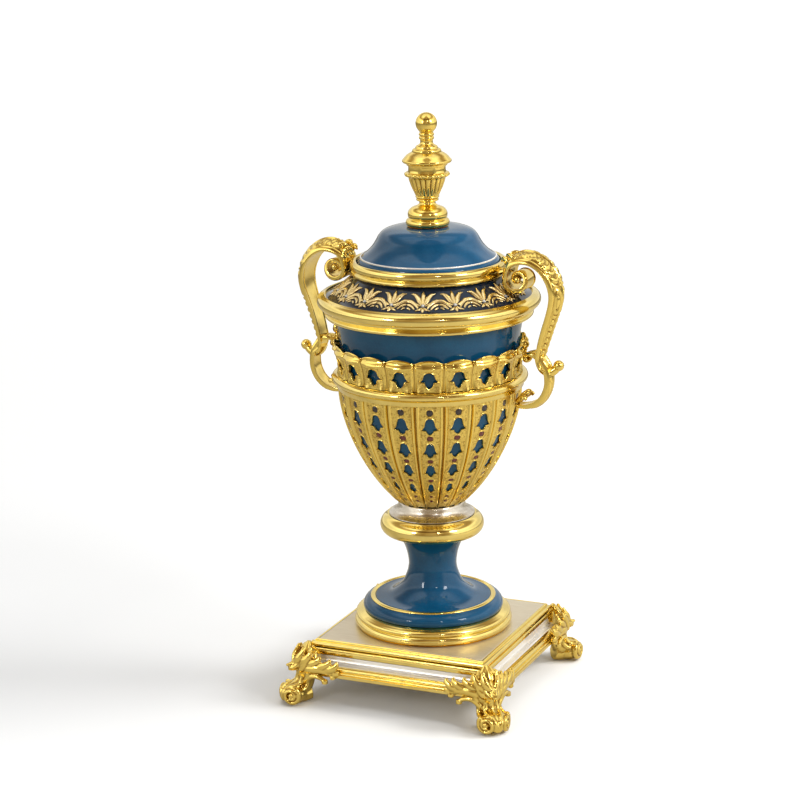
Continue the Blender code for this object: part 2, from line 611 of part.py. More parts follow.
def make_rings(gilt):
    """The girdle over the cage, the rim ring that carries the shoulder, and the mouth ring."""
    inner = around(BOWL_NECK_RADIUS, RING_SIDES)
    edge = CAGE_TOP_RADIUS + GIRDLE_PROUD
    turned("girdle_ring", [
        (inner, GIRDLE_Z),
        (edge - 3.0 * MM, GIRDLE_Z),
        (edge - 2.0 * MM, GIRDLE_Z + 3.0 * MM),
        *bead((edge - 3.2 * MM, GIRDLE_Z + 6.3 * MM), (3.2 * MM, 3.0 * MM), -50, 80, 4),
        (inner, GIRDLE_Z + GIRDLE_HEIGHT),
    ], RING_SIDES, gilt)
    inner = around(BOWL_LIP_RADIUS, RING_SIDES)
    ledge = around(SHOULDER_OUT_RADIUS, RING_SIDES)
    seat = SHOULDER_Z - GAP
    edge = RIM_OUT_RADIUS
    bottom = RIM_RING_Z
    top = RIM_RING_Z + RIM_RING_HEIGHT
    roll = 0.38 * RIM_RING_PROUD
    turned("rim_ring", [
        (inner, bottom),
        (edge - 1.6 * roll, bottom),
        (edge - roll, bottom + 0.25 * RIM_RING_HEIGHT),
        (edge - 0.62 * roll, bottom + 0.42 * RIM_RING_HEIGHT),
        *bead((edge - roll, top - 1.16 * roll), (roll, 1.1 * roll), -35, 75, 5),
        (ledge, top),
        (ledge, seat),
        (inner, seat),
    ], RING_SIDES, gilt)
    inner = around(MOUTH_RADIUS - GAP, RING_SIDES)
    edge = MOUTH_OUT_RADIUS
    turned("mouth_ring", [
        (inner, MOUTH_Z),
        (edge - 0.65 * MOUTH_RING_PROUD, MOUTH_Z),
        (edge - 0.30 * MOUTH_RING_PROUD, MOUTH_Z + 0.12 * MOUTH_RING_HEIGHT),
        (edge - 0.33 * MOUTH_RING_PROUD, MOUTH_Z + 0.35 * MOUTH_RING_HEIGHT),
        *bead((edge - 0.61 * MOUTH_RING_PROUD, MOUTH_Z + 0.69 * MOUTH_RING_HEIGHT),
              (0.61 * MOUTH_RING_PROUD, 0.31 * MOUTH_RING_HEIGHT), -60, 90, 5),
        (inner, MOUTH_Z + 0.9 * MOUTH_RING_HEIGHT),
    ], RING_SIDES, gilt)


def make_shoulder(blue):
    """The shoulder: a sloping shell between the rim ring's ledge and the mouth."""
    top = SHOULDER_Z + SHOULDER_HEIGHT
    land = MOUTH_RADIUS + 1.4 * MM
    span = SHOULDER_OUT_RADIUS - land
    turned("shoulder", [
        (MOUTH_RADIUS - MOUTH_SEAT, top),
        (land, top),
        (land + 0.22 * span, top - 0.34 * SHOULDER_HEIGHT),
        (land + 0.58 * span, top - 0.68 * SHOULDER_HEIGHT),
        (SHOULDER_OUT_RADIUS, SHOULDER_Z + 0.9 * MM),
        (SHOULDER_OUT_RADIUS, SHOULDER_Z),
        (BOWL_LIP_RADIUS - BOWL_WALL, SHOULDER_Z),
        (MOUTH_RADIUS - MOUTH_SEAT, top - 1.4 * SHOULDER_WALL),
    ], RING_SIDES, blue)


def make_lid(blue, gilt):
    """The domed lid, hollow below, and the urn-shaped finial on its crown."""
    base = MOUTH_Z
    rim = MOUTH_RADIUS - LID_CLEARANCE
    crown = LID_CROWN_RADIUS
    turned("lid", [
        (0.0, LID_TOP_Z),
        (FINIAL_FOOT_RADIUS + 5.0 * MM, LID_TOP_Z - 0.2 * MM),
        (crown - 4.2 * MM, LID_TOP_Z - 2.4 * MM),
        (crown, LID_TOP_Z - 5.0 * MM),
        (crown + 3.1 * MM, LID_TOP_Z - 10.6 * MM),
        (crown + 6.6 * MM, LID_TOP_Z - 16.0 * MM),
        (crown + 11.6 * MM, base + 12.4 * MM),
        (rim, base + 9.8 * MM),
        (rim, base),
        (rim - LID_WALL, base),
        (rim - LID_WALL, base + 7.6 * MM),
        (crown + 2.8 * MM, base + 13.0 * MM),
        (crown - 2.6 * MM, LID_TOP_Z - 8.4 * MM),
        (FINIAL_FOOT_RADIUS + 4.0 * MM, LID_TOP_Z - LID_WALL - 0.4 * MM),
        (0.0, LID_TOP_Z - LID_WALL),
    ], BODY_SIDES, blue)

    def level(share):
        return FINIAL_Z + share * FINIAL_HEIGHT

    foot = FINIAL_FOOT_RADIUS
    cup = FINIAL_CUP_RADIUS
    neck = FINIAL_NECK_RADIUS
    ball = FINIAL_BALL_RADIUS
    turned("finial", [
        (0.0, level(0.0)),
        (foot, level(0.0)),
        (foot, level(0.055)),
        (foot - 1.8 * MM, level(0.070)),
        (foot - 1.2 * MM, level(0.107)),
        (foot - 4.4 * MM, level(0.149)),
        (neck + 1.2 * MM, level(0.199)),
        (neck + 3.3 * MM, level(0.249)),
        (cup - 6.0 * MM, level(0.342)),
        (cup - 4.4 * MM, level(0.412)),
        (cup - 1.3 * MM, level(0.456)),
        (cup - 4.1 * MM, level(0.518)),
        (cup - 3.0 * MM, level(0.558)),
        (cup, level(0.593)),
        (0.59 * cup, level(0.660)),
        (0.45 * cup, level(0.690)),
        (neck, level(0.747)),
        (neck + 1.3 * MM, level(0.799)),
        (neck + 0.5 * MM, level(0.838)),
        *bead((0.0, FINIAL_Z + FINIAL_HEIGHT - ball), (ball, ball), -40, 60, 4),
        (0.0, FINIAL_Z + FINIAL_HEIGHT),
    ], FINIAL_SIDES, gilt)


def strap(name, path, widths, edges, crowns):
    """A strap along an XZ path, flat inside and crowned on the left-hand side of the way it runs."""
    along = np.gradient(path, axis=0)
    along /= np.linalg.norm(along, axis=1)[:, None]
    rings = []
    for (x, z), (run, climb), width, edge, crown in zip(path, along, widths, edges, crowns):
        section = ((-0.5, 0.0), (-0.5, edge), (0.0, edge + crown), (0.5, edge), (0.5, 0.0))
        rings.append([Vector((x - climb * rise, share * width, z + run * rise)) for share, rise in section])
    return lofted(name, rings)


def spindle(name, stations, sides):
    """A solid of round sections, each given by (x, z, half size in X, half size in Y), climbing in Z."""
    along, across = Vector((1.0, 0.0, 0.0)), Vector((0.0, 1.0, 0.0))
    rings = [ellipse_ring(Vector((x, 0.0, z)), along, across, half_x, half_y, sides)
             for x, z, half_x, half_y in stations]
    return lofted(name, rings)


def drum(name, x, z, radius, width, sides):
    """A short round bar across the handle, with bevelled ends."""
    along, up = Vector((1.0, 0.0, 0.0)), Vector((0.0, 0.0, 1.0))
    rings = []
    for share, size in ((-0.5, 0.7), (-0.36, 1.0), (0.36, 1.0), (0.5, 0.7)):
        centre = Vector((x, share * width, z))
        rings.append(ellipse_ring(centre, along, up, size * radius, size * radius, sides))
    return lofted(name, rings)


def handle_solids():
    """The solids of the right-hand handle: strap, C scroll, scroll end, ball, bud, leaf and lug."""
    eye = np.array([MOUTH_OUT_RADIUS + 0.3 * HANDLE_REACH, MOUTH_Z + 0.1 * VOLUTE_RADIUS])
    drop = eye[1] - GIRDLE_Z
    turn = np.radians(np.linspace(540.0, 190.0, 8))
    radius = VOLUTE_RADIUS * np.linspace(0.25, 0.82, len(turn))
    coil = eye + np.stack([radius * np.cos(turn), radius * np.sin(turn)], axis=1)
    bend = [eye + np.array([x * HANDLE_REACH, z * VOLUTE_RADIUS]) for x, z in (
        (-0.109, 0.818), (0.009, 1.205), (0.164, 1.25), (0.297, 0.955), (0.408, 0.432), (0.486, -0.273),
        (0.515, -1.023))]
    fall = [np.array([CAGE_TOP_RADIUS + x * HANDLE_REACH, eye[1] - share * drop]) for x, share in (
        (0.530, 0.25), (0.475, 0.36), (0.412, 0.48), (0.359, 0.60), (0.337, 0.68), (0.381, 0.75),
        (0.475, 0.795))]
    path = np.concatenate([coil, np.array(bend), np.array(fall)])
    share = np.linspace(0.0, 1.0, len(path))
    widths = np.interp(share, (0.0, 0.5, 1.0), (0.91 * HANDLE_WIDTH, HANDLE_WIDTH, HANDLE_TAIL_WIDTH))
    edges = HANDLE_EDGE * np.interp(share, (0.0, 0.35, 0.55, 1.0), (0.62, 0.76, 1.0, 0.76))
    crowns = HANDLE_CROWN * np.interp(share, (0.0, 0.33, 0.5, 1.0), (0.08, 0.13, 1.0, 0.54))
    solids = [strap("handle_strap", path, widths, edges, crowns)]
    rise = GALLERY_Z + GALLERY_HEIGHT - GIRDLE_Z
    lip = np.array([CAGE_TOP_RADIUS + GALLERY_FLARE + HANDLE_CLEARANCE, GALLERY_Z + GALLERY_HEIGHT])
    scroll = [(lip[0] + 1.2 * SCROLL_END_RADIUS, GIRDLE_Z + 0.76 * rise)]
    scroll += [(CAGE_TOP_RADIUS + x * HANDLE_REACH, GIRDLE_Z + z * rise) for x, z in (
        (0.302, 0.65), (0.379, 0.45), (0.410, 0.25), (0.390, 0.07), (0.330, -0.08), (0.228, -0.17),
        (0.036, -0.2))]
    full = np.ones(len(scroll))
    solids.append(strap("handle_scroll", np.array(scroll), 0.85 * HANDLE_TAIL_WIDTH * full,
                        0.95 * HANDLE_EDGE * full, 0.42 * HANDLE_CROWN * full))
    end = (lip[0] + 0.8 * SCROLL_END_RADIUS, lip[1] - 2.1 * SCROLL_END_RADIUS)
    solids.append(drum("handle_scroll_end", *end, SCROLL_END_RADIUS, 0.96 * HANDLE_TAIL_WIDTH, 6))
    ball = BALL_RADIUS
    centre = np.array([CAGE_TOP_RADIUS + 0.678 * HANDLE_REACH, GIRDLE_Z + 0.665 * rise])
    solids.append(spindle("handle_ball", [
        (centre[0], centre[1] + share * ball, size * ball, size * ball)
        for share, size in ((-0.96, 0.3), (-0.55, 0.84), (0.0, 1.0), (0.55, 0.84), (0.96, 0.3))], 6))
    neck = np.array([(CAGE_TOP_RADIUS + 0.415 * HANDLE_REACH, centre[1] - 1.18 * ball),
                     (centre[0] - 0.3 * ball, centre[1] - 0.59 * ball)])
    thick, crown = (0.7 * ball,) * 2, (0.12 * ball,) * 2
    solids.append(strap("handle_neck", neck, (1.47 * ball, 1.06 * ball), thick, crown))
    bud = BUD_RADIUS
    solids.append(spindle("handle_bud", [
        (lip[0] + 0.6 * bud, lip[1] - 0.31 * BUD_HEIGHT, 0.4 * bud, 0.5 * bud),
        (lip[0] + 0.55 * bud, lip[1] + 0.01 * BUD_HEIGHT, 0.35 * bud, 0.5 * bud),
        (lip[0] + 0.2 * bud, lip[1] + 0.19 * BUD_HEIGHT, 0.9 * bud, bud),
        (lip[0] + 0.1 * bud, lip[1] + 0.47 * BUD_HEIGHT, 0.8 * bud, 0.9 * bud),
        (lip[0] + 0.15 * bud, lip[1] + 0.69 * BUD_HEIGHT, 0.3 * bud, 0.35 * bud)], 5))
    leaf_z = scroll[-1][1] - 0.06 * LEAF_LENGTH
    leaf = np.array([(CAGE_TOP_RADIUS + x * LEAF_LENGTH, leaf_z + z * LEAF_LENGTH)
                     for x, z in ((0.13, 0.0), (0.64, 0.05), (1.13, 0.2))])
    wide, thick, crown = (LEAF_LENGTH * np.array(shares)
                          for shares in ((0.82, 0.91, 0.36), (0.22, 0.25, 0.11), (0.11, 0.11, 0.11)))
    solids.append(strap("handle_leaf", leaf, wide, thick, crown))
    lug_z = eye[1] + 0.41 * VOLUTE_RADIUS
    lug = np.array([(eye[0] - 0.8 * VOLUTE_RADIUS, lug_z), (MOUTH_OUT_RADIUS + GAP, lug_z)])
    solids.append(strap("handle_lug", lug, (0.52 * HANDLE_WIDTH,) * 2, (0.86 * HANDLE_EDGE,) * 2,
                        (0.06 * HANDLE_CROWN,) * 2))
    return solids


def make_handles(gilt):
    """Two like handles: one is joined from its solids, the other is the same turned half round."""
    solids = handle_solids()
    first = solids[0]
    for other in solids[1:]:
        guide(other)
        boolean(first, other, 'UNION')
    for name, turn in (("handle_right", 0.0), ("handle_left", math.pi)):
        place_copy(name, first, turn, gilt)
    for other in solids:
        bpy.data.objects.remove(other, do_unlink=True)


def main():
    clear_all()
    gilt = material("gilt", (0.83, 0.60, 0.16), 0.24, 1.0)
    blue = material("blue_glaze", (0.016, 0.075, 0.17), 0.08, 0.0)
    silver = material("silver", (0.80, 0.78, 0.73), 0.28, 1.0)
    make_plinth(silver, gilt)
    make_feet(gilt)
    make_stem(blue, gilt, silver)
    make_bowl(blue)
    make_cage(gilt)
    make_gallery(gilt)
    make_rings(gilt)
    make_shoulder(blue)
    make_lid(blue, gilt)
    make_handles(gilt)


main()
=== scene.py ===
"""Looks of the openwork vase: gilt cage and mounts over deep blue glaze, on a silvered plinth.

Every length is in metres. The vase stands on z = 0 with its axis on Z, its handles along X and its
front towards -Y. Surfaces are grids of points worked out as whole arrays, welded into closed meshes.
"""
import math

import bmesh
import bpy
import numpy as np
from mathutils import Matrix, Vector


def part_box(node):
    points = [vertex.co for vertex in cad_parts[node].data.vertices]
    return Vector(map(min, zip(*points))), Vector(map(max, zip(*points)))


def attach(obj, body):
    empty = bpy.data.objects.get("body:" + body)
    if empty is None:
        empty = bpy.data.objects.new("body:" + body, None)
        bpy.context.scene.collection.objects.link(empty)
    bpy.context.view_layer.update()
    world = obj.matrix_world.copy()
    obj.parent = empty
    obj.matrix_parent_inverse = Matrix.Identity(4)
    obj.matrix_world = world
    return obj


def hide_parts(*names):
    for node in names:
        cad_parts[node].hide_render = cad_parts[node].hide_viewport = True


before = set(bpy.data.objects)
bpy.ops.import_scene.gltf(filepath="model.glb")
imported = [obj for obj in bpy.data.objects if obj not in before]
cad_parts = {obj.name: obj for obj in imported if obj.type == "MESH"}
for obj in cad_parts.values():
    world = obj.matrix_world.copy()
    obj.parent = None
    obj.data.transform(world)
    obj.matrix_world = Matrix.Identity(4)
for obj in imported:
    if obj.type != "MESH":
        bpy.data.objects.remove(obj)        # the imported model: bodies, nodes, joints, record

MM = 0.001
WELD = 0.004 * MM    # points nearer than this are one point
CREASE = math.radians(38.0)    # edges that turn more than this stay sharp
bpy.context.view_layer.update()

# Levels and radii read from the frame
LEVEL = {name: (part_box(name)[0][2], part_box(name)[1][2]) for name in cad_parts}
REACH = {name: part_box(name)[1][0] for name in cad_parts}

# Camera, fitted to the photograph's 800 pixel frame
VIEW_AZIMUTH = math.radians(23.94)
VIEW_HEIGHT = math.radians(14.67)
VIEW_ROLL = math.radians(-1.035)
VIEW_DISTANCE = 1.6227
VIEW_TARGET_Z = 205.7 * MM
VIEW_TARGET_SIDE = -20.9 * MM
FOCAL_PIXELS = 2356.0
FRAME_PIXELS = 800.0
SENSOR_MM = 36.0

# Panels of the cage and bays of the gallery
PANELS = 20
PITCH = math.tau / PANELS
FIRST_PANEL = math.radians(4.6) - math.pi / 2.0

# Sides of a turned surface and of a leaf or stem
SIDES = 160
LIMB_SIDES = 12

# Painted shade on a flat surface, and what each step of hollowness adds to it
HOLLOW_START = 0.03
HOLLOW_GAIN = 3.2


def levels(name):
    """The heights of a solid's foot and top, in millimetres."""
    return tuple(level / MM for level in LEVEL[name])


class Shell:
    """Gathers grids of points into one mesh, with a polish value and a painted shade value for every point.
    """

    def __init__(self):
        self.points = []
        self.faces = []
        self.polish = []
        self.painted_shade = []
        self.count = 0

    def grid(self, points, around=False, along=False, polish=1.0, painted_shade=0.0):
        """Adds points[row, column, xyz]; around joins the last column to the first, along the rows."""
        rows, columns = points.shape[:2]
        index = self.count + np.arange(rows * columns).reshape(rows, columns)
        if around:
            index = np.concatenate([index, index[:, :1]], axis=1)
        if along:
            index = np.concatenate([index, index[:1]], axis=0)
        quads = np.stack([index[:-1, :-1], index[:-1, 1:], index[1:, 1:], index[1:, :-1]], axis=-1)
        self.points.append(points.reshape(-1, 3))
        self.faces.append(quads.reshape(-1, 4))
        self.polish.append(np.broadcast_to(polish, (rows, columns)).reshape(-1))
        self.painted_shade.append(np.broadcast_to(painted_shade, (rows, columns)).reshape(-1))
        self.count += rows * columns

    def piece(self, name, finish, slot, nodes=(), relief=True, shade_hollows=False):
        """Welds the grids into a closed mesh, faces outwards, and hands it to the frame."""
        mesh = bpy.data.meshes.new(name)
        points, faces = np.concatenate(self.points), np.concatenate(self.faces)
        mesh.from_pydata(points, [], faces)
        # painted shade: each point's darkness is worked out from how hollow the surface is there
        if shade_hollows:
            face_out(mesh)
            corners = np.empty(len(mesh.loops), dtype=np.int32)
            mesh.loops.foreach_get("vertex_index", corners)
            self.painted_shade = [hollow_shading(points, corners.reshape(-1, 4))]
        if relief:
            for label, values in (("polish", self.polish), ("painted_shade", self.painted_shade)):
                layer = mesh.attributes.new(label, 'FLOAT', 'POINT')
                layer.data.foreach_set("value", np.concatenate(values).astype(np.float32))
        return finish_piece(name, mesh, finish, nodes)


def face_out(mesh, weld=0.0):
    """Turns a mesh's faces outwards, after welding points that lie within the given distance."""
    build = bmesh.new()
    build.from_mesh(mesh)
    if weld:
        bmesh.ops.remove_doubles(build, verts=build.verts[:], dist=weld)
    bmesh.ops.recalc_face_normals(build, faces=build.faces[:])
    build.to_mesh(mesh)
    build.free()


def hollow_shading(points, faces):
    """Painted shade for each point, from 0 to 1, by how hollow the surface is there: how far its neighbours
    stand in front of it.

    It is the mean step to the neighbours along the surface's normal, over the mean step's length squared,
    averaged twice over the neighbours.
    """
    pairs = np.concatenate([faces[:, [0, 1]], faces[:, [1, 2]], faces[:, [2, 3]], faces[:, [3, 0]]])
    pairs = np.concatenate([pairs, pairs[:, ::-1]])
    normal = np.cross(points[faces[:, 2]] - points[faces[:, 0]], points[faces[:, 3]] - points[faces[:, 1]])
    normals = np.zeros_like(points)
    for corner in range(4):
        np.add.at(normals, faces[:, corner], normal)
    normals /= np.maximum(np.linalg.norm(normals, axis=1), 1e-20)[:, None]
    count = np.maximum(np.bincount(pairs[:, 0], minlength=len(points)), 1)
    step = points[pairs[:, 1]] - points[pairs[:, 0]]
    rise = np.bincount(pairs[:, 0], (step * normals[pairs[:, 0]]).sum(axis=1), len(points)) / count
    length = np.bincount(pairs[:, 0], (step ** 2).sum(axis=1), len(points)) / count
    bend = rise / np.maximum(length, 1e-12) * MM
    for _ in range(2):
        bend = 0.5 * bend + 0.5 * np.bincount(pairs[:, 0], bend[pairs[:, 1]], len(points)) / count
    return np.clip(HOLLOW_GAIN * bend + HOLLOW_START, 0.0, 1.0)


def finish_piece(name, mesh, finish, nodes=()):
    """Welds a mesh, turns its faces out, smooths it but for its sharp edges, and rides it on the vase."""
    face_out(mesh, WELD)
    mesh.shade_smooth()
    mesh.set_sharp_from_angle(angle=CREASE)
    mesh.materials.append(finish)
    thing = bpy.data.objects.new(name, mesh)
    bpy.context.collection.objects.link(thing)
    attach(thing, "root")
    if nodes:
        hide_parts(*nodes)
    return thing


# Outlines

def arc(centre, radii, start, end, count):
    """Points on an ellipse round a centre, from one angle to another in degrees, as (count, 2)."""
    angles = np.radians(np.linspace(start, end, count))
    return np.stack([centre[0] + radii[0] * np.cos(angles), centre[1] + radii[1] * np.sin(angles)], axis=1)


def curve(points, steps):
    """A smooth curve through points: the cubic that matches each point's neighbours in slope."""
    knots = np.asarray(points, dtype=float)
    ends = np.concatenate([2 * knots[:1] - knots[1:2], knots, 2 * knots[-1:] - knots[-2:-1]])
    share = np.linspace(0.0, 1.0, steps, endpoint=False)[:, None]
    a, b, c, d = (ends[k:len(ends) - 3 + k, None, :] for k in range(4))
    spans = 0.5 * (2 * b + (c - a) * share + (2 * a - 5 * b + 4 * c - d) * share ** 2
                   + (3 * b - a - 3 * c + d) * share ** 3)
    return np.concatenate([spans.reshape(-1, knots.shape[1]), knots[-1:]])


def path_length(points):
    """The length run along a line of points, from 0 at its first point."""
    steps = np.linalg.norm(np.diff(points, axis=0), axis=1)
    return np.concatenate([[0.0], np.cumsum(steps)])


def resample(points, count):
    """The same line with points at even distances."""
    run = path_length(points)
    want = np.linspace(0.0, run[-1], count)
    return np.stack([np.interp(want, run, points[:, k]) for k in range(points.shape[1])], axis=1)


def outline(base, *parts):
    """One outline in metres, from points and runs of points: (radius, height above the base) in mm."""
    points = np.concatenate([np.atleast_2d(np.asarray(part, dtype=float)) for part in parts])
    return (points + (0.0, base)) * MM


def turned_grid(profile, sides=SIDES, wave=None):
    """A profile of (radius, height) carried round Z; wave(angle, rows) adds to the radius."""
    angle = np.linspace(0.0, math.tau, sides, endpoint=False)
    radius = np.repeat(profile[:, :1], sides, axis=1)
    if wave is not None:
        radius = radius + wave(angle[None, :], np.arange(len(profile))[:, None])
    height = np.repeat(profile[:, 1:], sides, axis=1)
    return np.stack([radius * np.cos(angle), radius * np.sin(angle), height], axis=-1)


def turned_about(points, angle):
    """Points turned about Z."""
    turn = np.array([[math.cos(angle), math.sin(angle), 0.0], [-math.sin(angle), math.cos(angle), 0.0],
                     [0.0, 0.0, 1.0]])
    return points @ turn


def turned_piece(name, profile, finish, slot, nodes=(), closed=False):
    """A turned piece: its outline starts and ends on the axis, or closes on itself."""
    shell = Shell()
    shell.grid(turned_grid(profile), around=True, along=closed)
    return shell.piece(name, finish, slot, nodes, relief=False)


def squared_piece(name, profile, finish, slot, nodes=(), closed=True):
    """A square moulding: its (half size, height) outline carried round four mitred corners."""
    corners = np.array([(1, -1), (1, 1), (-1, 1), (-1, -1)], dtype=float)
    plan = profile[:, None, :1] * corners[None, :, :]
    height = np.repeat(profile[:, 1:, None], 4, axis=1)
    shell = Shell()
    shell.grid(np.concatenate([plan, height], axis=-1), around=True, along=closed)
    return shell.piece(name, finish, slot, nodes, relief=False)


# Materials

GILT_BRIGHT = (0.95, 0.73, 0.20)
GILT_DEEP = (0.24, 0.11, 0.012)
FINE_GRAIN = 1500.0    # waves per metre


class NodeTree:
    """The nodes of a material, a group or the world, with short ways to add and join them."""

    def __init__(self, tree):
        self.nodes = tree.nodes
        self.join = tree.links.new

    def add(self, kind, **settings):
        """A node with its properties set."""
        node = self.nodes.new(kind)
        for key, value in settings.items():
            setattr(node, key, value)
        return node

    def feed(self, socket, value):
        """Joins a socket to another, or sets it to a plain number or colour."""
        if hasattr(value, 'is_linked'):
            self.join(value, socket)
        elif isinstance(value, tuple):
            socket.default_value = (*value, 1.0)
        else:
            socket.default_value = value

    def noise(self, place, scale, detail, roughness=0.55):
        """Noise in object coordinates, with its scale in waves per metre."""
        node = self.add('ShaderNodeTexNoise')
        node.inputs['Scale'].default_value = scale
        node.inputs['Detail'].default_value = detail
        node.inputs['Roughness'].default_value = roughness
        self.join(place, node.inputs['Vector'])
        return node.outputs['Fac']

    def ranged(self, value, low, high, out_low, out_high):
        """A value carried from one range to another, and held at the ends."""
        node = self.add('ShaderNodeMapRange')
        for label, number in (('Value', value), ('From Min', low), ('From Max', high), ('To Min', out_low),
                              ('To Max', out_high)):
            self.feed(node.inputs[label], number)
        return node.outputs['Result']

    def blended(self, factor, first, second, mode='MIX'):
        """Two colours mixed by a factor; each is a socket or a plain colour."""
        node = self.add('ShaderNodeMix', data_type='RGBA', blend_type=mode)
        for socket, value in ((node.inputs[0], factor), (node.inputs[6], first), (node.inputs[7], second)):
            self.feed(socket, value)
        return node.outputs[2]

    def worked(self, operation, first, second):
        """One sum, product or other step of two values."""
        node = self.add('ShaderNodeMath', operation=operation)
        self.feed(node.inputs[0], first)
        self.feed(node.inputs[1], second)
        return node.outputs[0]

    def ramped(self, value, stops):
        """A value from -1 to 1 looked up in a list of stops, as a colour."""
        ramp = self.add('ShaderNodeValToRGB')
        places = ramp.color_ramp.elements
        while len(places) < len(stops):
            places.new(0.5)
        for place, (at, colour) in zip(places, stops):
            place.position = 0.5 + 0.5 * at
            place.color = (*colour, 1.0)
        self.join(self.ranged(value, -1.0, 1.0, 0.0, 1.0), ramp.inputs['Fac'])
        return ramp.outputs['Color']

    def bump(self, shader, height, strength, distance):
        """Fine relief from a height value."""
        node = self.add('ShaderNodeBump')
        node.inputs['Strength'].default_value = strength
        node.inputs['Distance'].default_value = distance
        self.join(height, node.inputs['Height'])
        self.join(node.outputs['Normal'], shader.inputs['Normal'])


def new_group(name, inputs, outputs):
    """An empty shader node group with named sockets, and its input and output nodes."""
    group = bpy.data.node_groups.new(name, 'ShaderNodeTree')
    for label, kind, value in inputs:
        socket = group.interface.new_socket(label, in_out='INPUT', socket_type=kind)
        socket.default_value = value
    for label, kind in outputs:
        group.interface.new_socket(label, in_out='OUTPUT', socket_type=kind)
    return group, group.nodes.new('NodeGroupInput'), group.nodes.new('NodeGroupOutput')


def principled(name):
    """A new material, with its node tree and its Principled shader."""
    made = bpy.data.materials.new(name)
    made.use_nodes = True
    return made, NodeTree(made.node_tree), made.node_tree.nodes['Principled BSDF']


def make_metal_group():
    """Cast and gilded metal: soft tone drift, painted shade that darkens the hollows, fine grain, and a
    stippled matte ground.

    Polish 1 is burnished and 0 is the matte ground; Painted shade 0 is open and 1 is the darkest hollow.
    """
    group, given, result = new_group("Cast metal", (
        ("Bright", 'NodeSocketColor', (0.9, 0.6, 0.15, 1.0)),
        ("Deep", 'NodeSocketColor', (0.4, 0.2, 0.03, 1.0)),
        ("Polish", 'NodeSocketFloat', 1.0), ("Painted shade", 'NodeSocketFloat', 0.0),
        ("Smooth", 'NodeSocketFloat', 0.14), ("Rough", 'NodeSocketFloat', 0.42)),
        (("Color", 'NodeSocketColor'), ("Roughness", 'NodeSocketFloat'), ("Height", 'NodeSocketFloat')))
    tree = NodeTree(group)
    polish, painted_shade = given.outputs['Polish'], given.outputs['Painted shade']
    place = tree.add('ShaderNodeTexCoord').outputs['Object']
    drift = tree.noise(place, 38.0, 2.0)
    cloud = tree.noise(place, 210.0, 4.0)
    grain = tree.noise(place, FINE_GRAIN, 3.0, 0.65)
    flecks = tree.noise(place, 650.0, 3.0)
    voronoi = tree.add('ShaderNodeTexVoronoi', feature='F1')
    voronoi.inputs['Scale'].default_value = FINE_GRAIN
    tree.join(place, voronoi.inputs['Vector'])
    stipple = voronoi.outputs['Distance']
    matte = tree.worked('SUBTRACT', 1.0, polish)
    tone = tree.worked('ADD', tree.worked('MULTIPLY', drift, 0.35), tree.worked('MULTIPLY', cloud, 0.25))
    tone = tree.ranged(tone, 0.2, 0.42, 0.0, 0.22)
    pits = tree.worked('MULTIPLY', matte, tree.ranged(stipple, 0.15, 0.6, 0.3, 0.0))
    specks = tree.worked('MULTIPLY', matte, tree.ranged(flecks, 0.5, 0.68, 0.0, 0.6))
    pits = tree.worked('ADD', pits, specks)
    # painted shade darkens the colour towards Deep, together with the random tone drift and the stipple pits
    depth = tree.worked('ADD', tree.worked('ADD', painted_shade, tone), pits)
    colour = tree.blended(depth, given.outputs['Bright'], given.outputs['Deep'])
    rough = tree.blended(matte, given.outputs['Smooth'], given.outputs['Rough'])
    rough = tree.worked('ADD', rough, tree.ranged(cloud, 0.35, 0.7, -0.03, 0.07))
    rough = tree.worked('ADD', rough, tree.worked('MULTIPLY', painted_shade, 0.15))
    rise = tree.worked('MULTIPLY', matte, tree.worked('SUBTRACT', 1.0, stipple))
    height = tree.worked('ADD', tree.worked('MULTIPLY', grain, 0.12), rise)
    tree.join(colour, result.inputs['Color'])
    tree.join(rough, result.inputs['Roughness'])
    tree.join(height, result.inputs['Height'])
    return group


def metal(name, bright, smooth, rough, strength, relief=False):
    """A gilt finish; with relief, polish and painted shade come from the piece's own attributes."""
    made, tree, shader = principled(name)
    cast = tree.add('ShaderNodeGroup', node_tree=cast_metal)
    for label, value in (('Bright', bright), ('Deep', GILT_DEEP), ('Smooth', smooth), ('Rough', rough)):
        tree.feed(cast.inputs[label], value)
    if relief:
        for label, attribute in (('Polish', "polish"), ('Painted shade', "painted_shade")):
            reader = tree.add('ShaderNodeAttribute', attribute_name=attribute)
            tree.join(reader.outputs['Fac'], cast.inputs[label])
    shader.inputs['Metallic'].default_value = 1.0
    tree.join(cast.outputs['Color'], shader.inputs['Base Color'])
    tree.join(cast.outputs['Roughness'], shader.inputs['Roughness'])
    tree.bump(shader, cast.outputs['Height'], strength, 0.12 * MM)
    return made


def glaze(name, light, deep, coat):
    """Deep blue glaze: pooled colour under a clear, very slightly rippled coat."""
    made, tree, shader = principled(name)
    place = tree.add('ShaderNodeTexCoord').outputs['Object']
    pool = tree.noise(place, 55.0, 3.0)
    fleck = tree.noise(place, 900.0, 2.0)
    shade = tree.worked('ADD', tree.ranged(pool, 0.3, 0.7, 0.0, 0.8),
                   tree.ranged(fleck, 0.35, 0.7, -0.1, 0.2))
    tree.join(tree.blended(shade, deep, light), shader.inputs['Base Color'])
    tree.join(tree.ranged(pool, 0.3, 0.7, 0.05, 0.09), shader.inputs['Roughness'])
    shader.inputs['Coat Weight'].default_value = coat
    shader.inputs['Coat Roughness'].default_value = 0.02
    shader.inputs['Specular IOR Level'].default_value = 0.05
    ripple = tree.noise(place, 70.0, 1.0)
    tree.bump(shader, ripple, 0.12, 0.3 * MM)
    return made


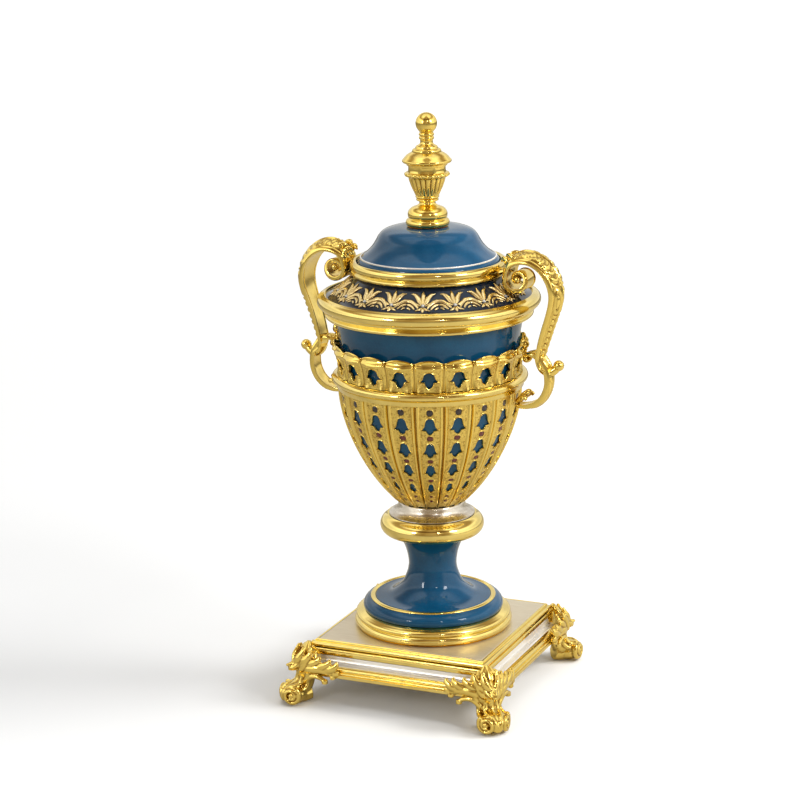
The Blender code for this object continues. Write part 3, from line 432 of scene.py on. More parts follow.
def brushed_silver(name, stretch, bright, deep, smooth, rough, metallic=1.0):
    """Silvered metal with fine brush lines; stretch is the noise scale along X, Y and Z."""
    made, tree, shader = principled(name)
    place = tree.add('ShaderNodeTexCoord').outputs['Object']
    mapping = tree.add('ShaderNodeMapping')
    mapping.inputs['Scale'].default_value = stretch
    tree.join(place, mapping.inputs['Vector'])
    lines = tree.noise(mapping.outputs['Vector'], 1.0, 3.0, 0.6)
    drift = tree.noise(place, 30.0, 3.0)
    shade = tree.worked('ADD', tree.ranged(drift, 0.3, 0.7, 0.0, 0.6),
                   tree.ranged(lines, 0.3, 0.7, 0.0, 0.4))
    tree.join(tree.blended(shade, bright, deep), shader.inputs['Base Color'])
    tree.join(tree.ranged(lines, 0.25, 0.75, smooth, rough), shader.inputs['Roughness'])
    shader.inputs['Metallic'].default_value = metallic
    tree.bump(shader, lines, 0.25, 0.05 * MM)
    return made


def enamel(name, colour, roughness):
    """A small drop of coloured enamel, a little uneven."""
    made, tree, shader = principled(name)
    place = tree.add('ShaderNodeTexCoord').outputs['Object']
    cloud = tree.noise(place, 600.0, 2.0)
    dark = tuple(0.5 * part for part in colour)
    tree.join(tree.blended(cloud, dark, colour), shader.inputs['Base Color'])
    tree.join(tree.ranged(cloud, 0.3, 0.7, roughness, roughness + 0.1), shader.inputs['Roughness'])
    shader.inputs['Coat Weight'].default_value = 0.6
    return made


cast_metal = make_metal_group()
gilt = metal("gilt_burnished", (0.95, 0.765, 0.255), 0.13, 0.4, 0.05)
gilt_relief = metal("gilt_shaded_relief", GILT_BRIGHT, 0.17, 0.38, 0.5, relief=True)
gilt_carved = metal("gilt_carved", GILT_BRIGHT, 0.13, 0.36, 0.12, relief=True)
gilt_pale = metal("gilt_pale", (0.96, 0.8, 0.42), 0.18, 0.38, 0.2, relief=True)
blue = glaze("blue_glaze", (0.008, 0.088, 0.188), (0.004, 0.06, 0.136), 0.6)
# a darker, slightly less glossy copy of the blue glaze for the shoulder: painted shade for its upturned slope
shaded_blue = glaze("blue_glaze_shaded", (0.005, 0.017, 0.04), (0.002, 0.009, 0.022), 0.55)
silver_top = brushed_silver("silver_top", (60.0, 900.0, 900.0), (0.80, 0.73, 0.58), (0.66, 0.58, 0.44),
                            0.3, 0.46, 0.75)
silver_band = brushed_silver("silver_band", (40.0, 40.0, 1500.0), (0.95, 0.94, 0.92), (0.80, 0.77, 0.73),
                             0.16, 0.3, 0.5)
silver_collar = brushed_silver("silver_collar", (160.0, 160.0, 700.0), (0.84, 0.80, 0.72), (0.42, 0.36, 0.29),
                               0.12, 0.4)

red_enamel = enamel("red_enamel", (0.16, 0.012, 0.008), 0.2)
pearl = enamel("pearl", (0.82, 0.80, 0.75), 0.18)
dark_enamel = enamel("dark_enamel", (0.03, 0.018, 0.02), 0.2)


# Plinth

PLINTH_HALF = 60.5    # mm from the axis to the block's side
PLINTH_OUT = 72.9    # mm from the axis to the foot frame's face


def make_plinth():
    """The silvered block with its stepped sides, and the two gilt frames of beads and fillets."""
    low, top = levels("plinth")
    half = PLINTH_HALF
    squared_piece("plinth_block", outline(top,
        (0.0, 0.0), (half - 0.2, 0.0), (half, -0.2), (half, -11.2), (62.4, -11.2), (0.0, -11.2)),
        silver_top, "silver", ["plinth"], closed=False)
    squared_piece("plinth_side", outline(top,
        (30.0, -11.25), (62.5, -11.25), (62.9, -12.4), (63.1, -14.2), (63.5, -14.7),
        (63.2, -15.1), (64.3, -15.4), (66.2, -15.7), (67.1, -16.4), (67.1, low - top), (30.0, low - top)),
        silver_band, "silver")
    edge = half + 4.6
    squared_piece("plinth_beads", outline(top,
        (half + 0.2, -0.1), (half + 0.4, 0.0), (edge - 3.2, 0.0), (edge - 2.7, -0.5), (edge - 2.7, -1.2),
        arc((edge - 2.5, -3.2), (2.2, 1.95), 84, -70, 16), (edge - 2.2, -5.1),
        arc((edge - 1.6, -6.4), (1.6, 1.2), 80, -75, 12), (edge - 1.9, -7.6),
        (edge - 2.4, -7.9), (edge - 2.1, -8.4), (edge - 2.2, -10.6), (edge - 2.5, -10.9),
        (half + 0.2, -10.9)), gilt, "gilt", ["plinth_top_moulding"])
    out = PLINTH_OUT
    squared_piece("plinth_foot_frame", outline(low,
        (67.4, 7.0), (68.6, 7.0), arc((69.2, 5.6), (2.6, 1.5), 80, -5, 10), (71.7, 4.9),
        (71.5, 4.3), arc((71.9, 3.5), (0.9, 0.8), 80, -60, 8), (72.3, 2.7),
        (out, 2.5), (out, 0.4), (out - 0.4, 0.0), (67.4, 0.0)), gilt, "gilt",
        ["plinth_base_moulding"])


# Round foot, stem, knop and collar

def make_stem():
    """The gilt foot ring, the blue spool with its gold line, the knop and its silvered collar."""
    base = levels("foot_ring")[0]
    turned_piece("foot_double_ring", outline(base,
        (0.0, 0.0), (53.6, 0.0), arc((51.7, 3.4), (3.6, 3.3), -75, 62, 16),
        arc((51.1, 8.1), (3.3, 2.4), -60, 72, 14), (51.0, 10.7), (49.6, 11.6),
        (0.0, 11.6)), gilt, "gilt", ["foot_ring"])
    base, top = levels("pedestal")
    spool = curve([(40.0, 8.7), (36.0, 8.9), (30.5, 10.0), (25.9, 12.9), (21.7, 17.0), (19.2, 21.8),
                   (17.3, 27.5), (16.8, 33.2), (18.1, 40.9), (20.4, 47.1), (24.2, top - base)], 6)
    turned_piece("stem_spool", outline(base,
        (0.0, 0.0), (48.2, 0.0), curve([(48.7, 0.3), (49.1, 2.2), (48.5, 4.4), (46.6, 6.5), (44.3, 7.5)], 6),
        (44.0, 7.7), (43.6, 7.7), (40.6, 7.7), (40.3, 8.4), spool, (0.0, top - base)),
        blue, "blue_glaze", ["pedestal"])
    turned_piece("foot_gold_line", outline(base,
        (40.4, 7.9), arc((42.2, 8.0), (1.75, 1.0), 178, 2, 12), (43.9, 7.9)),
        gilt, "gilt", closed=True)
    low = levels("knop_ring")[0]
    turned_piece("knop_torus", outline(low,
        (0.0, 0.0), (25.6, 0.0), (26.6, 0.5), (26.6, 1.0), arc((29.5, 7.4), (6.7, 6.8), -66, 62, 26),
        (32.4, 13.6), (31.6, 14.1), (31.0, 15.0), (0.0, 15.0)), gilt, "gilt", ["knop_ring"])
    low = levels("knop_collar")[0]
    turned_piece("collar", outline(low,
        (0.0, 0.0), (29.9, 0.0), curve([(29.8, 0.4), (26.4, 1.9), (24.2, 4.4), (22.9, 8.2)], 8),
        (22.4, 8.7), (0.0, 8.7)),
        silver_collar, "silver", ["knop_collar"])


# Bowl, rings, shoulder and lid

def make_body():
    """The blue bowl and shoulder, hollow inside, and the gilt girdle, rim and mouth rings."""
    base, lip = levels("bowl")
    neck = levels("openwork_cage")[1]
    swell = cage_line(np.linspace(0.0, 1.0, 40)) / MM
    normal = line_normals(swell)
    outside = swell - 2.1 * normal
    inside = swell - 6.8 * normal
    outside = outside[outside[:, 1] > base + 0.5]
    inside = inside[inside[:, 1] > base + 7.0]
    turned_piece("blue_bowl", outline(0.0,
        (0.0, base), (19.0, base), outside, (59.9, neck + 2.0),
        curve([(60.2, neck + 8.0), (60.8, neck + 25.2), (63.3, neck + 42.2), (65.3, neck + 50.4)], 8),
        (65.4, lip - 0.3), (65.1, lip), (62.6, lip), (62.4, neck + 50.4),
        curve([(60.3, neck + 42.0), (57.8, neck + 25.0), (57.0, neck + 6.0)], 8), inside[::-1],
        (9.0, base + 6.0), (0.0, base + 6.0)), blue, "blue_glaze", ["bowl"])
    low = levels("girdle_ring")[0]
    turned_piece("girdle", outline(low,
        (61.3, 0.0), (63.9, 0.0), (64.4, 0.5), (64.7, 2.6), (65.0, 3.2), (64.4, 3.8),
        arc((63.9, 6.6), (3.5, 2.9), -72, 84, 18), (61.3, 9.5)), gilt, "gilt",
        ["girdle_ring"], closed=True)
    low = levels("rim_ring")[0]
    turned_piece("rim", outline(low,
        (66.0, 0.0), (69.2, 0.0), arc((69.6, 1.6), (1.9, 1.6), -75, 60, 10), (70.6, 3.1),
        curve([(70.9, 3.5), (72.0, 4.6), (73.2, 5.6), (73.4, 6.6)], 5),
        (73.0, 7.0), arc((71.9, 10.6), (4.5, 4.4), -68, 78, 26), (72.3, 15.2),
        (71.3, 15.6), (70.8, 15.4), (70.8, 13.2), (66.0, 13.2)), gilt, "gilt",
        ["rim_ring"], closed=True)
    low = levels("mouth_ring")[0]
    turned_piece("mouth", outline(low,
        (49.3, 0.0), (50.6, 0.0), arc((51.0, 1.9), (1.8, 1.7), -80, 62, 12), (51.6, 3.9),
        arc((50.9, 6.9), (2.5, 3.2), -68, 100, 20), (49.3, 9.6)), gilt, "gilt",
        ["mouth_ring"], closed=True)
    low, top = levels("shoulder")
    # the shoulder takes the darkened copy of the glaze, painted shade for its slope
    turned_piece("shoulder_shell", outline(0.0,
        (44.3, top), (50.0, top), shoulder_line(np.linspace(0.0, 1.0, 24)) / MM, (70.1, low), (62.6, low),
        (57.0, low + 3.4), (44.3, top - 4.4)), shaded_blue, "blue_glaze", ["shoulder"], closed=True)


def line_normals(profile):
    """Unit normals of a rising (radius, height) line, pointing away from the axis."""
    along = np.gradient(profile, axis=0)
    normal = np.stack([along[:, 1], -along[:, 0]], axis=1)
    return normal / np.linalg.norm(normal, axis=1)[:, None]


def cage_line(share):
    """The rib crests' line at shares of the cage's height.

    The radius grows from the foot's to the top's by one less the 1.7th power of the share that is left
    above, and the whole of that to the power 0.84.
    """
    low, high = LEVEL["openwork_cage"]
    foot, top = 23.3 * MM, REACH["openwork_cage"]
    radius = foot + (top - foot) * (1.0 - (1.0 - share) ** 1.7) ** 0.84
    return np.stack([radius, low + (high - low) * share], axis=-1)


def shoulder_line(share):
    """The shoulder's hollow slope, from the mouth ring at share 0 to the rim ring at 1."""
    low, high = LEVEL["shoulder"]
    inner, outer = 50.3 * MM, REACH["shoulder"] - 0.1 * MM
    radius = inner + (outer - inner) * share
    return np.stack([radius, low + 0.9 * MM + (high - low - 0.9 * MM) * (1.0 - share) ** 1.45], axis=-1)


def make_lid():
    """The blue domed lid, hollow below, with a thin silvered line on its flange that paints the reflection
    off the dome's flared edge.
    """
    low, top = levels("lid")
    deep = low - top
    dome = curve([(13.0, 0.0), (20.0, -0.2), (26.0, -1.1), (30.8, -3.0), (33.6, -5.9), (35.6, -9.4),
                  (38.2, -13.4), (41.6, -17.0), (45.0, -19.6), (47.4, -21.3), (48.3, -22.4)], 6)
    turned_piece("lid_dome", outline(top,
        (0.0, 0.0), dome, (48.3, deep), (45.4, deep), (45.4, deep + 7.6), (36.0, deep + 13.2), (30.4, -8.4),
        (18.8, -3.4), (0.0, -3.0)), blue, "blue_glaze", ["lid"])
    # a thin silvered ring on the flange: painted reflection of the dome's flared edge
    turned_piece("lid_reflection_line", outline(top,
        (45.3, -20.4), arc((46.1, -20.3), (0.55, 0.5), 160, -20, 8), (46.7, -21.3)),
        silver_band, "silver", closed=True)


FLUTES = 20
FLUTE_DEPTH = 0.95 * MM
FLUTED_FROM, FLUTED_TO = 21.0, 33.2    # mm above the finial's foot
LIP_LEVEL = 34.8    # the same for the middle of the scalloped lip
BAND_LEVEL = 39.2    # the same for the band of rosettes
FINIAL_SIDES = 240


def make_finial():
    """The turned finial: stepped foot, fluted cup with a scalloped lip, cover, neck and ball."""
    low, top = levels("finial")
    profile = outline(low,
        (0.0, 0.0), (13.9, 0.0), arc((12.9, 2.5), (1.95, 2.5), -80, 74, 12), (13.0, 5.1), (12.7, 5.6),
        (13.3, 6.3), arc((7.4, 8.0), (6.1, 5.4), 0, 78, 14),
        curve([(8.0, 13.5), (6.6, 14.3), (5.7, 15.2), (5.5, 16.2)], 4),
        (5.9, 17.0), arc((6.5, 18.0), (1.2, 0.9), -75, 75, 7), (6.6, 19.0),
        arc((7.2, 19.9), (0.9, 0.8), -75, 60, 6),
        curve([(8.0, 20.8), (9.3, 23.6), (10.9, 27.2), (12.2, 31.0), (12.6, 33.0)], 5),
        arc((13.4, 35.2), (2.1, 1.5), -65, 85, 10), (13.0, 36.8), (12.7, 38.0), (12.6, 40.2), (13.0, 41.0),
        (13.7, 41.3), (13.9, 42.2), arc((14.9, 44.3), (1.9, 1.5), -60, 50, 12),
        curve([(15.4, 46.3), (13.6, 48.2), (11.4, 49.6), (9.9, 50.3)], 5),
        (9.9, 51.0), arc((8.3, 51.0), (1.5, 1.5), 0, 80, 7), (7.7, 52.6), (7.6, 53.2),
        arc((5.9, 53.2), (1.6, 1.5), 0, 80, 7), curve([(5.3, 55.1), (4.5, 56.0), (4.3, 57.4)], 4),
        (4.5, 58.4), arc((4.6, 59.6), (0.6, 1.0), -75, 75, 6), (4.6, 60.8),
        arc((4.5, 62.0), (0.75, 1.0), -75, 75, 7), (4.5, 63.2), (4.9, 64.0),
        arc((0.0, top - low - 7.3), (7.3, 7.3), -46, 90, 22))
    height = profile[:, 1] / MM - low
    deep = FLUTE_DEPTH * np.clip((height - FLUTED_FROM) / 2.0, 0.0, 1.0)
    deep = deep * np.clip((FLUTED_TO - height) / 1.2, 0.0, 1.0)
    lip = 1.3 * MM * np.clip(1.0 - np.abs(height - LIP_LEVEL) / 2.0, 0.0, 1.0)
    band = 0.8 * MM * np.clip(1.0 - np.abs(height - BAND_LEVEL) / 1.8, 0.0, 1.0)

    def wave(angle, row):
        """Flutes in the cup, scallops in its lip and rosettes in the band above, out from the axis."""
        ridge = np.abs(np.sin(0.5 * FLUTES * angle))
        scallop = 1.0 - np.abs(np.cos(0.5 * FLUTES * angle))
        rosette = np.clip(np.cos(0.4 * FLUTES * angle), 0.0, 1.0) ** 2
        return band[row] * rosette - deep[row] * (1.0 - ridge ** 0.7) - lip[row] * scallop

    angle = np.linspace(0.0, math.tau, FINIAL_SIDES, endpoint=False)[None, :]
    # painted shade down in the flutes, deepest at each flute's middle
    painted_shade = (deep[:, None] / FLUTE_DEPTH) * (1.0 - np.abs(np.sin(0.5 * FLUTES * angle))) ** 2
    shell = Shell()
    shell.grid(turned_grid(profile, FINIAL_SIDES, wave), around=True, painted_shade=painted_shade)
    shell.piece("finial_urn", gilt_relief, "gilt", ["finial"])


# Pierced cage

HUSK_ROWS = (    # top and low point, half width, all in mm, of the bellflower holes
    (208.2, 196.4, 5.6), (189.6, 178.6, 5.05), (172.9, 163.1, 4.4), (156.9, 148.9, 2.9))
DROP_ROWS = (    # middle, half height and half width, all in mm, of the enamelled drops
    (212.3, 2.2, 2.2), (193.4, 1.8, 2.2), (175.6, 1.45, 1.9), (159.7, 1.2, 1.8), (145.4, 1.1, 1.2),
    (141.0, 1.3, 1.1))
ROW_EDGES = (    # heights of the edges between the rows of cells, in mm
    216.6, 215.3, 209.4, 195.8, 191.0, 177.9, 173.7, 162.3, 157.9, 148.0, 143.4, 138.6, 134.3)
PANEL_HALF = 0.345    # half of a panel's flat, as a share of the pitch
PANEL_DEPTH = 1.0    # mm that the flat lies behind the ribs
PANEL_WALL = 1.7
CELL_END_STEPS = 5    # steps from the middle of a cell's top edge to its corner
BELL_STEPS = 11    # steps down the side of a bellflower's cell
DROP_STEPS = 4    # steps down the side of a drop's cell
FINER_BELOW = 200.0    # mm: plain stretches under this height have more steps
DROP_SIDES = 16
DROP_DOME = ((0.0, -0.48), (0.95, -0.48), (0.98, -0.2), (0.8, 0.02), (0.5, 0.14), (0.0, 0.2))    # size, lift
RIM_POLISH = np.array([0.0, 0.0, 1.0, 1.0, 1.0, 0.6, 0.1, 0.0, 0.0])[:, None]    # along hole_rows
CAGE_BELL = (    # the right half of a hole in the cage: dome and skirt to the hooked tip, then the petal
    [(0.0, 1.0), (0.27, 0.94), (0.45, 0.75), (0.56, 0.44), (0.63, 0.12), (0.75, -0.12), (0.89, -0.28),
     (1.04, -0.42)],
    [(0.7, -0.46), (0.45, -0.5), (0.42, -0.64), (0.32, -0.82), (0.0, -1.0)])
GALLERY_BELL = (    # the same in the gallery, where the tips flare wider and higher
    [(0.0, 1.0), (0.29, 0.92), (0.47, 0.72), (0.55, 0.44), (0.62, 0.2), (0.78, 0.0), (1.0, -0.15)],
    [(0.64, -0.19), (0.42, -0.24), (0.4, -0.44), (0.28, -0.72), (0.0, -1.0)])


def bell_outline(side_steps, end_steps, halves):
    """A bellflower hole, top first and clockwise, in (x, y) from -1 to 1.

    It has as many points as a cell's edge has, and its hooked tips match the cell's lower corners.
    """
    half_count = side_steps + end_steps
    skirt, petal = halves
    petal_count = end_steps // 2
    right = np.concatenate([resample_to(curve(skirt, 4), half_count - petal_count),
                            resample_to(curve(petal, 4), petal_count + 1)[:-1]])
    left = right[::-1] * (-1.0, 1.0)
    return np.concatenate([right, [(0.0, -1.0)], left[:-1]])


def resample_to(points, count):
    """The same line thinned or filled to a count of points, keeping both ends."""
    place = np.linspace(0.0, len(points) - 1.0, count)
    return np.stack([np.interp(place, np.arange(len(points)), points[:, k]) for k in (0, 1)], axis=1)


def drop_outline(count):
    """A rounded square, top first and clockwise, in (x, y) from -1 to 1."""
    angle = math.pi / 2.0 - np.linspace(0.0, math.tau, count, endpoint=False)
    x, y = np.cos(angle), np.sin(angle)
    return np.stack([np.sign(x) * np.abs(x) ** 0.75, np.sign(y) * np.abs(y) ** 0.75], axis=1)


def cell_edge(low, high, half, side_steps, end_steps):
    """The rim of a cell in (share of pitch, height), from the middle of its top edge, clockwise."""
    across = np.linspace(-half, half, 2 * end_steps + 1)
    up = np.linspace(high, low, side_steps + 1)
    top = np.stack([across[end_steps:], np.full(end_steps + 1, high)], axis=1)
    right = np.stack([np.full(side_steps, half), up[1:]], axis=1)
    bottom = np.stack([across[::-1][1:], np.full(2 * end_steps, low)], axis=1)
    left = np.stack([np.full(side_steps, -half), up[::-1][1:]], axis=1)
    closing = np.stack([across[1:end_steps], np.full(end_steps - 1, high)], axis=1)
    return np.concatenate([top, right, bottom, left, closing])


def hole_rows(hole, edge, across_mm, rim, wall):
    """Rows of (share, height, lift) from a hole's back edge, up over its raised rim, out to its cell."""
    gap = (edge - hole) * (across_mm, 1.0)
    span = np.linalg.norm(gap, axis=1)[:, None]
    rows = [np.column_stack([line, np.full(len(edge), -wall)]) for line in (edge, hole)]
    for away, lift in ((0.0, -0.05), (0.12, 0.75 * rim), (0.32, rim), (0.55, 0.45 * rim), (0.75, 0.0)):
        share = np.minimum(away / span, 0.8)
        rows.append(np.column_stack([hole + share * (edge - hole), np.full(len(edge), lift)]))
    for share in (0.86, 1.0):
        rows.append(np.column_stack([hole + share * (edge - hole), np.zeros(len(edge))]))
    return np.stack(rows)


class PiercedWall:
    """One bay of a pierced wall that is repeated round the vase."""

    def __init__(self, line, lobe, wall, shade):
        self.line = line
        self.lobe = lobe
        self.wall = wall
        self.shade = shade
        self.shell = Shell()

    def place(self, rows):
        """Puts (share of pitch, height, lift) on the wall; a lift of minus the wall is its inner face."""
        share, height, lift = rows[..., 0], rows[..., 1], rows[..., 2]
        normal = line_normals(self.line)
        radius, out, rise = (np.interp(height * MM, self.line[:, 1], values)
                             for values in (self.line[:, 0], normal[:, 0], normal[:, 1]))
        inner = lift <= -self.wall + 0.001
        raised = np.where(inner, lift, lift + self.lobe(share, height)) * MM
        radius = radius + out * raised
        angle = share * PITCH
        return np.stack([radius * np.cos(angle), radius * np.sin(angle), height * MM + rise * raised],
                        axis=-1)

    def add(self, rows, around=False, polish=0.0):
        """Adds a grid of (share of pitch, height, lift) to the bay."""
        # painted shade from the wall's own rule, darkest in its creases
        shade = self.shade(np.abs(rows[..., 0]))
        self.shell.grid(self.place(rows), around=around, polish=polish, painted_shade=shade)

    def face_and_back(self, across, heights, polish):
        """A plain stretch, with its outer and inner face."""
        share, height = np.meshgrid(across, heights)
        for lift in (0.0, -self.wall):
            self.add(np.stack([share, height, np.full_like(share, lift)], axis=-1), polish=polish)

    def rim(self, across, height, polish=1.0):
        """Closes the wall at its top or its foot, between its two faces."""
        rows = [np.stack([across, np.full(len(across), height), np.full(len(across), lift)], axis=-1)
                for lift in (0.0, -self.wall)]
        self.add(np.stack(rows), polish=polish)

    def turned_copies(self):
        """All the bays as one shell."""
        whole = Shell()
        points = np.concatenate(self.shell.points)
        faces = np.concatenate(self.shell.faces)
        for bay in range(PANELS):
            whole.points.append(turned_about(points, FIRST_PANEL + bay * PITCH))
            whole.faces.append(faces + whole.count)
            whole.polish.append(np.concatenate(self.shell.polish))
            whole.painted_shade.append(np.concatenate(self.shell.painted_shade))
            whole.count += len(points)
        return whole


def cage_shade(side):
    """Painted shade on the cage at a share of the pitch from a panel's middle: darker in its creases and
    along its panel edges.
    """
    return 0.8 * np.exp(-((side - 0.5) / 0.016) ** 2) + 0.35 * np.exp(-((side - 0.355) / 0.012) ** 2)


def flute_lobe(share, height):
    """The cage's section: a flat panel, then a reeded shoulder on each side, rolling down to a crease."""
    side = np.abs(share)
    low = np.clip((176.0 - height) / 30.0, 0.0, 1.0)
    panel = -PANEL_DEPTH + 0.25 * low
    rise = np.clip((side - PANEL_HALF) / 0.045, 0.0, 1.0)
    rise = rise * rise * (3.0 - 2.0 * rise)
    roll = np.clip((side - 0.435) / 0.065, 0.0, 1.0)
    reed = 0.2 * (1.0 - low) * np.exp(-((side - 0.42) / 0.012) ** 2)
    return panel * (1.0 - rise) - reed - 2.3 * roll ** 2


def make_cage():
    """The pierced cage: twenty fluted panels with bellflower holes and drops between them."""
    wall = PiercedWall(cage_line(np.linspace(0.0, 1.0, 160)), flute_lobe, PANEL_WALL, cage_shade)
    end_steps, sides = CELL_END_STEPS, []
    for high, low in zip(ROW_EDGES[:-1], ROW_EDGES[1:]):
        middle = 0.5 * (high + low)
        radius = np.interp(middle * MM, wall.line[:, 1], wall.line[:, 0]) / MM
        across_mm = radius * PITCH
        bell = [row for row in HUSK_ROWS if low < 0.5 * (row[0] + row[1]) < high]
        drop = [row for row in DROP_ROWS if low < row[0] < high]
        if bell:
            top, tip, half = bell[0]
            steps = BELL_STEPS
            hole = bell_outline(steps, 2 * end_steps, CAGE_BELL)
            hole = hole * (half / across_mm, 0.5 * (top - tip)) + (0.0, 0.5 * (top + tip))
            edge = cell_edge(low, high, PANEL_HALF, steps, end_steps)
            wall.add(hole_rows(hole, edge, across_mm, 0.42, PANEL_WALL), around=True, polish=RIM_POLISH)
        elif drop:
            centre, tall, half = drop[0]
            steps = DROP_STEPS
            edge = cell_edge(low, high, PANEL_HALF, steps, end_steps)
            hole = drop_outline(len(edge)) * (half / across_mm, tall) + (0.0, centre)
            rows = hole_rows(hole, edge, across_mm, 0.22, PANEL_WALL)[2:]
            floor = np.column_stack([hole, np.full(len(hole), -0.5)])
            well = np.column_stack([np.tile((0.0, centre), (len(hole), 1)), np.full(len(hole), -0.5)])
            wall.add(np.concatenate([well[None], floor[None], rows]), around=True)
            share, height = np.meshgrid(np.linspace(-PANEL_HALF, PANEL_HALF, 2 * end_steps + 1),
                                        np.linspace(high, low, steps + 1))
            wall.add(np.stack([share, height, np.full_like(share, -PANEL_WALL)], axis=-1))
        else:
            steps = 3 if middle > FINER_BELOW else 5
            wall.face_and_back(np.linspace(-PANEL_HALF, PANEL_HALF, 2 * end_steps + 1),
                               np.linspace(high, low, steps + 1), 0.0)
        sides.append(np.linspace(high, low, steps + 1)[:-1])
    heights = np.concatenate([*sides, [ROW_EDGES[-1]]])
    shoulder = np.array([PANEL_HALF, 0.365, 0.39, 0.42, 0.45, 0.478, 0.5])
    for hand in (-1.0, 1.0):
        wall.face_and_back(hand * shoulder, heights, 1.0)
    across = np.concatenate([-shoulder[:0:-1], np.linspace(-PANEL_HALF, PANEL_HALF, 2 * end_steps + 1),
                             shoulder[1:]])
    for height in (ROW_EDGES[0], ROW_EDGES[-1]):
        wall.rim(across, height)
    wall.turned_copies().piece("pierced_cage", gilt_relief, "gilt", ["openwork_cage"])
    make_drops(wall)


def make_drops(wall):
    """The enamel drops: low domes in their wells, dark in the top row and deep red below."""
    for name, finish, rows in (("dark_drops", dark_enamel, DROP_ROWS[:1]),
                               ("red_drops", red_enamel, DROP_ROWS[1:])):
        beads = PiercedWall(wall.line, flute_lobe, PANEL_WALL, cage_shade)
        for centre, tall, half in rows:
            across_mm = np.interp(centre * MM, wall.line[:, 1], wall.line[:, 0]) / MM * PITCH
            rim = drop_outline(DROP_SIDES) * (half / across_mm, tall)
            rings = [np.column_stack([rim * size + (0.0, centre), np.full(DROP_SIDES, lift)])
                     for size, lift in DROP_DOME]
            beads.add(np.stack(rings), around=True)
        beads.turned_copies().piece(name, finish, "gilt", relief=False)


def gallery_shade(side):
    """Painted shade on the gallery at a share of the pitch away from a bay's middle: darker in the creases.
    """
    return 0.8 * np.exp(-((side - 0.5) / 0.02) ** 2)


def gallery_lobe(share, height):
    """The gallery's section: convex bays that meet in creases, deeper towards the scalloped lip."""
    side = np.abs(share)
    crease = np.clip((side - 0.40) / 0.10, 0.0, 1.0)
    foot = np.clip((233.5 - height) / 6.5, 0.0, 1.0)
    flare = 1.5 * foot ** 1.4 * np.exp(-((side - 0.31) / 0.11) ** 2)
    upper = np.clip((height - 232.0) / 6.0, 0.0, 1.0)
    fold = 0.35 * np.sin(math.pi * np.clip((side - 0.2) / 0.3, 0.0, 1.0)) * upper
    return -2.0 * crease ** 2 - 0.7 * (side / 0.5) ** 2 + flare - fold


GALLERY_HOLE = (240.5, 228.8, 6.9)    # top and low point, half width, in mm
GALLERY_EDGES = (242.6, 240.9, 228.4, 226.7)    # heights of its plain and pierced stretches, in mm
GALLERY_WALL = 1.2
GALLERY_PANEL_HALF = 0.385
SCALLOP_RISE = 3.7


def make_gallery():
    """The gallery: twenty pierced bays that flare out to a rolled and scalloped lip."""
    low = levels("gallery")[0]
    line = outline(low, curve([(62.8, 0.0), (62.9, 4.0), (63.6, 9.0), (64.8, 13.5), (66.0, 16.0)], 8))
    wall = PiercedWall(line, gallery_lobe, GALLERY_WALL, gallery_shade)
    end_steps, steps = 6, 14
    half = GALLERY_PANEL_HALF
    top, tip, width = GALLERY_HOLE
    across_mm = 64.0 * PITCH
    edge = cell_edge(GALLERY_EDGES[2], GALLERY_EDGES[1], half, steps, end_steps)
    hole = bell_outline(steps, 2 * end_steps, GALLERY_BELL)
    hole = hole * (width / across_mm, 0.5 * (top - tip)) + (0.0, 0.5 * (top + tip))
    wall.add(hole_rows(hole, edge, across_mm, 0.45, GALLERY_WALL), around=True, polish=RIM_POLISH)
    across = np.linspace(-half, half, 2 * end_steps + 1)
    for high, foot in ((GALLERY_EDGES[0], GALLERY_EDGES[1]), (GALLERY_EDGES[2], GALLERY_EDGES[3])):
        wall.face_and_back(across, np.linspace(high, foot, 3), 0.8)
    heights = np.concatenate([np.linspace(GALLERY_EDGES[0], GALLERY_EDGES[1], 3)[:-1],
                              np.linspace(GALLERY_EDGES[1], GALLERY_EDGES[2], steps + 1),
                              np.linspace(GALLERY_EDGES[2], GALLERY_EDGES[3], 3)[1:]])
    shoulder = np.array([half, 0.4, 0.415, 0.43, 0.45, 0.475, 0.5])
    for hand in (-1.0, 1.0):
        wall.face_and_back(hand * shoulder, heights, 0.9)
    across = np.concatenate([-shoulder[:0:-1], across, shoulder[1:]])
    wall.rim(across, GALLERY_EDGES[3])
    scalloped_lip(wall, across)
    wall.turned_copies().piece("scalloped_gallery", gilt_relief, "gilt", ["gallery"])


def scalloped_lip(wall, across):
    """The lip over one bay: a roll that stands out, then a dished scallop rising in an arch to its edge."""
    arch = np.clip(1.0 - (across / 0.5) ** 2, 0.0, 1.0) ** 0.85
    pinch = 0.35 + 0.65 * arch ** 0.5
    base = GALLERY_EDGES[0]
    rows = []
    for lift, rise, scallop in (    # mm out, mm up, and the share of the arch's rise
            (0.0, 0.0, 0.0), (0.3, 0.1, 0.0), (0.85, 0.4, 0.0), (1.05, 0.8, 0.03), (0.85, 1.2, 0.06),
            (0.3, 1.4, 0.14), (-0.5, 1.5, 0.3), (-0.85, 1.65, 0.55), (-0.35, 1.95, 0.86), (0.2, 2.2, 0.97),
            (-0.2, 2.45, 1.02), (-0.8, 2.2, 1.0), (-1.1, 2.1, 0.6), (-1.19, 1.0, 0.2),
            (-GALLERY_WALL, 0.0, 0.0)):
        out = lift * (pinch if lift > 0.0 else np.ones(len(across)))
        rows.append(np.column_stack([across, base + rise + SCALLOP_RISE * scallop * arch, out]))
    wall.add(np.stack(rows), polish=1.0)


# Shoulder frieze

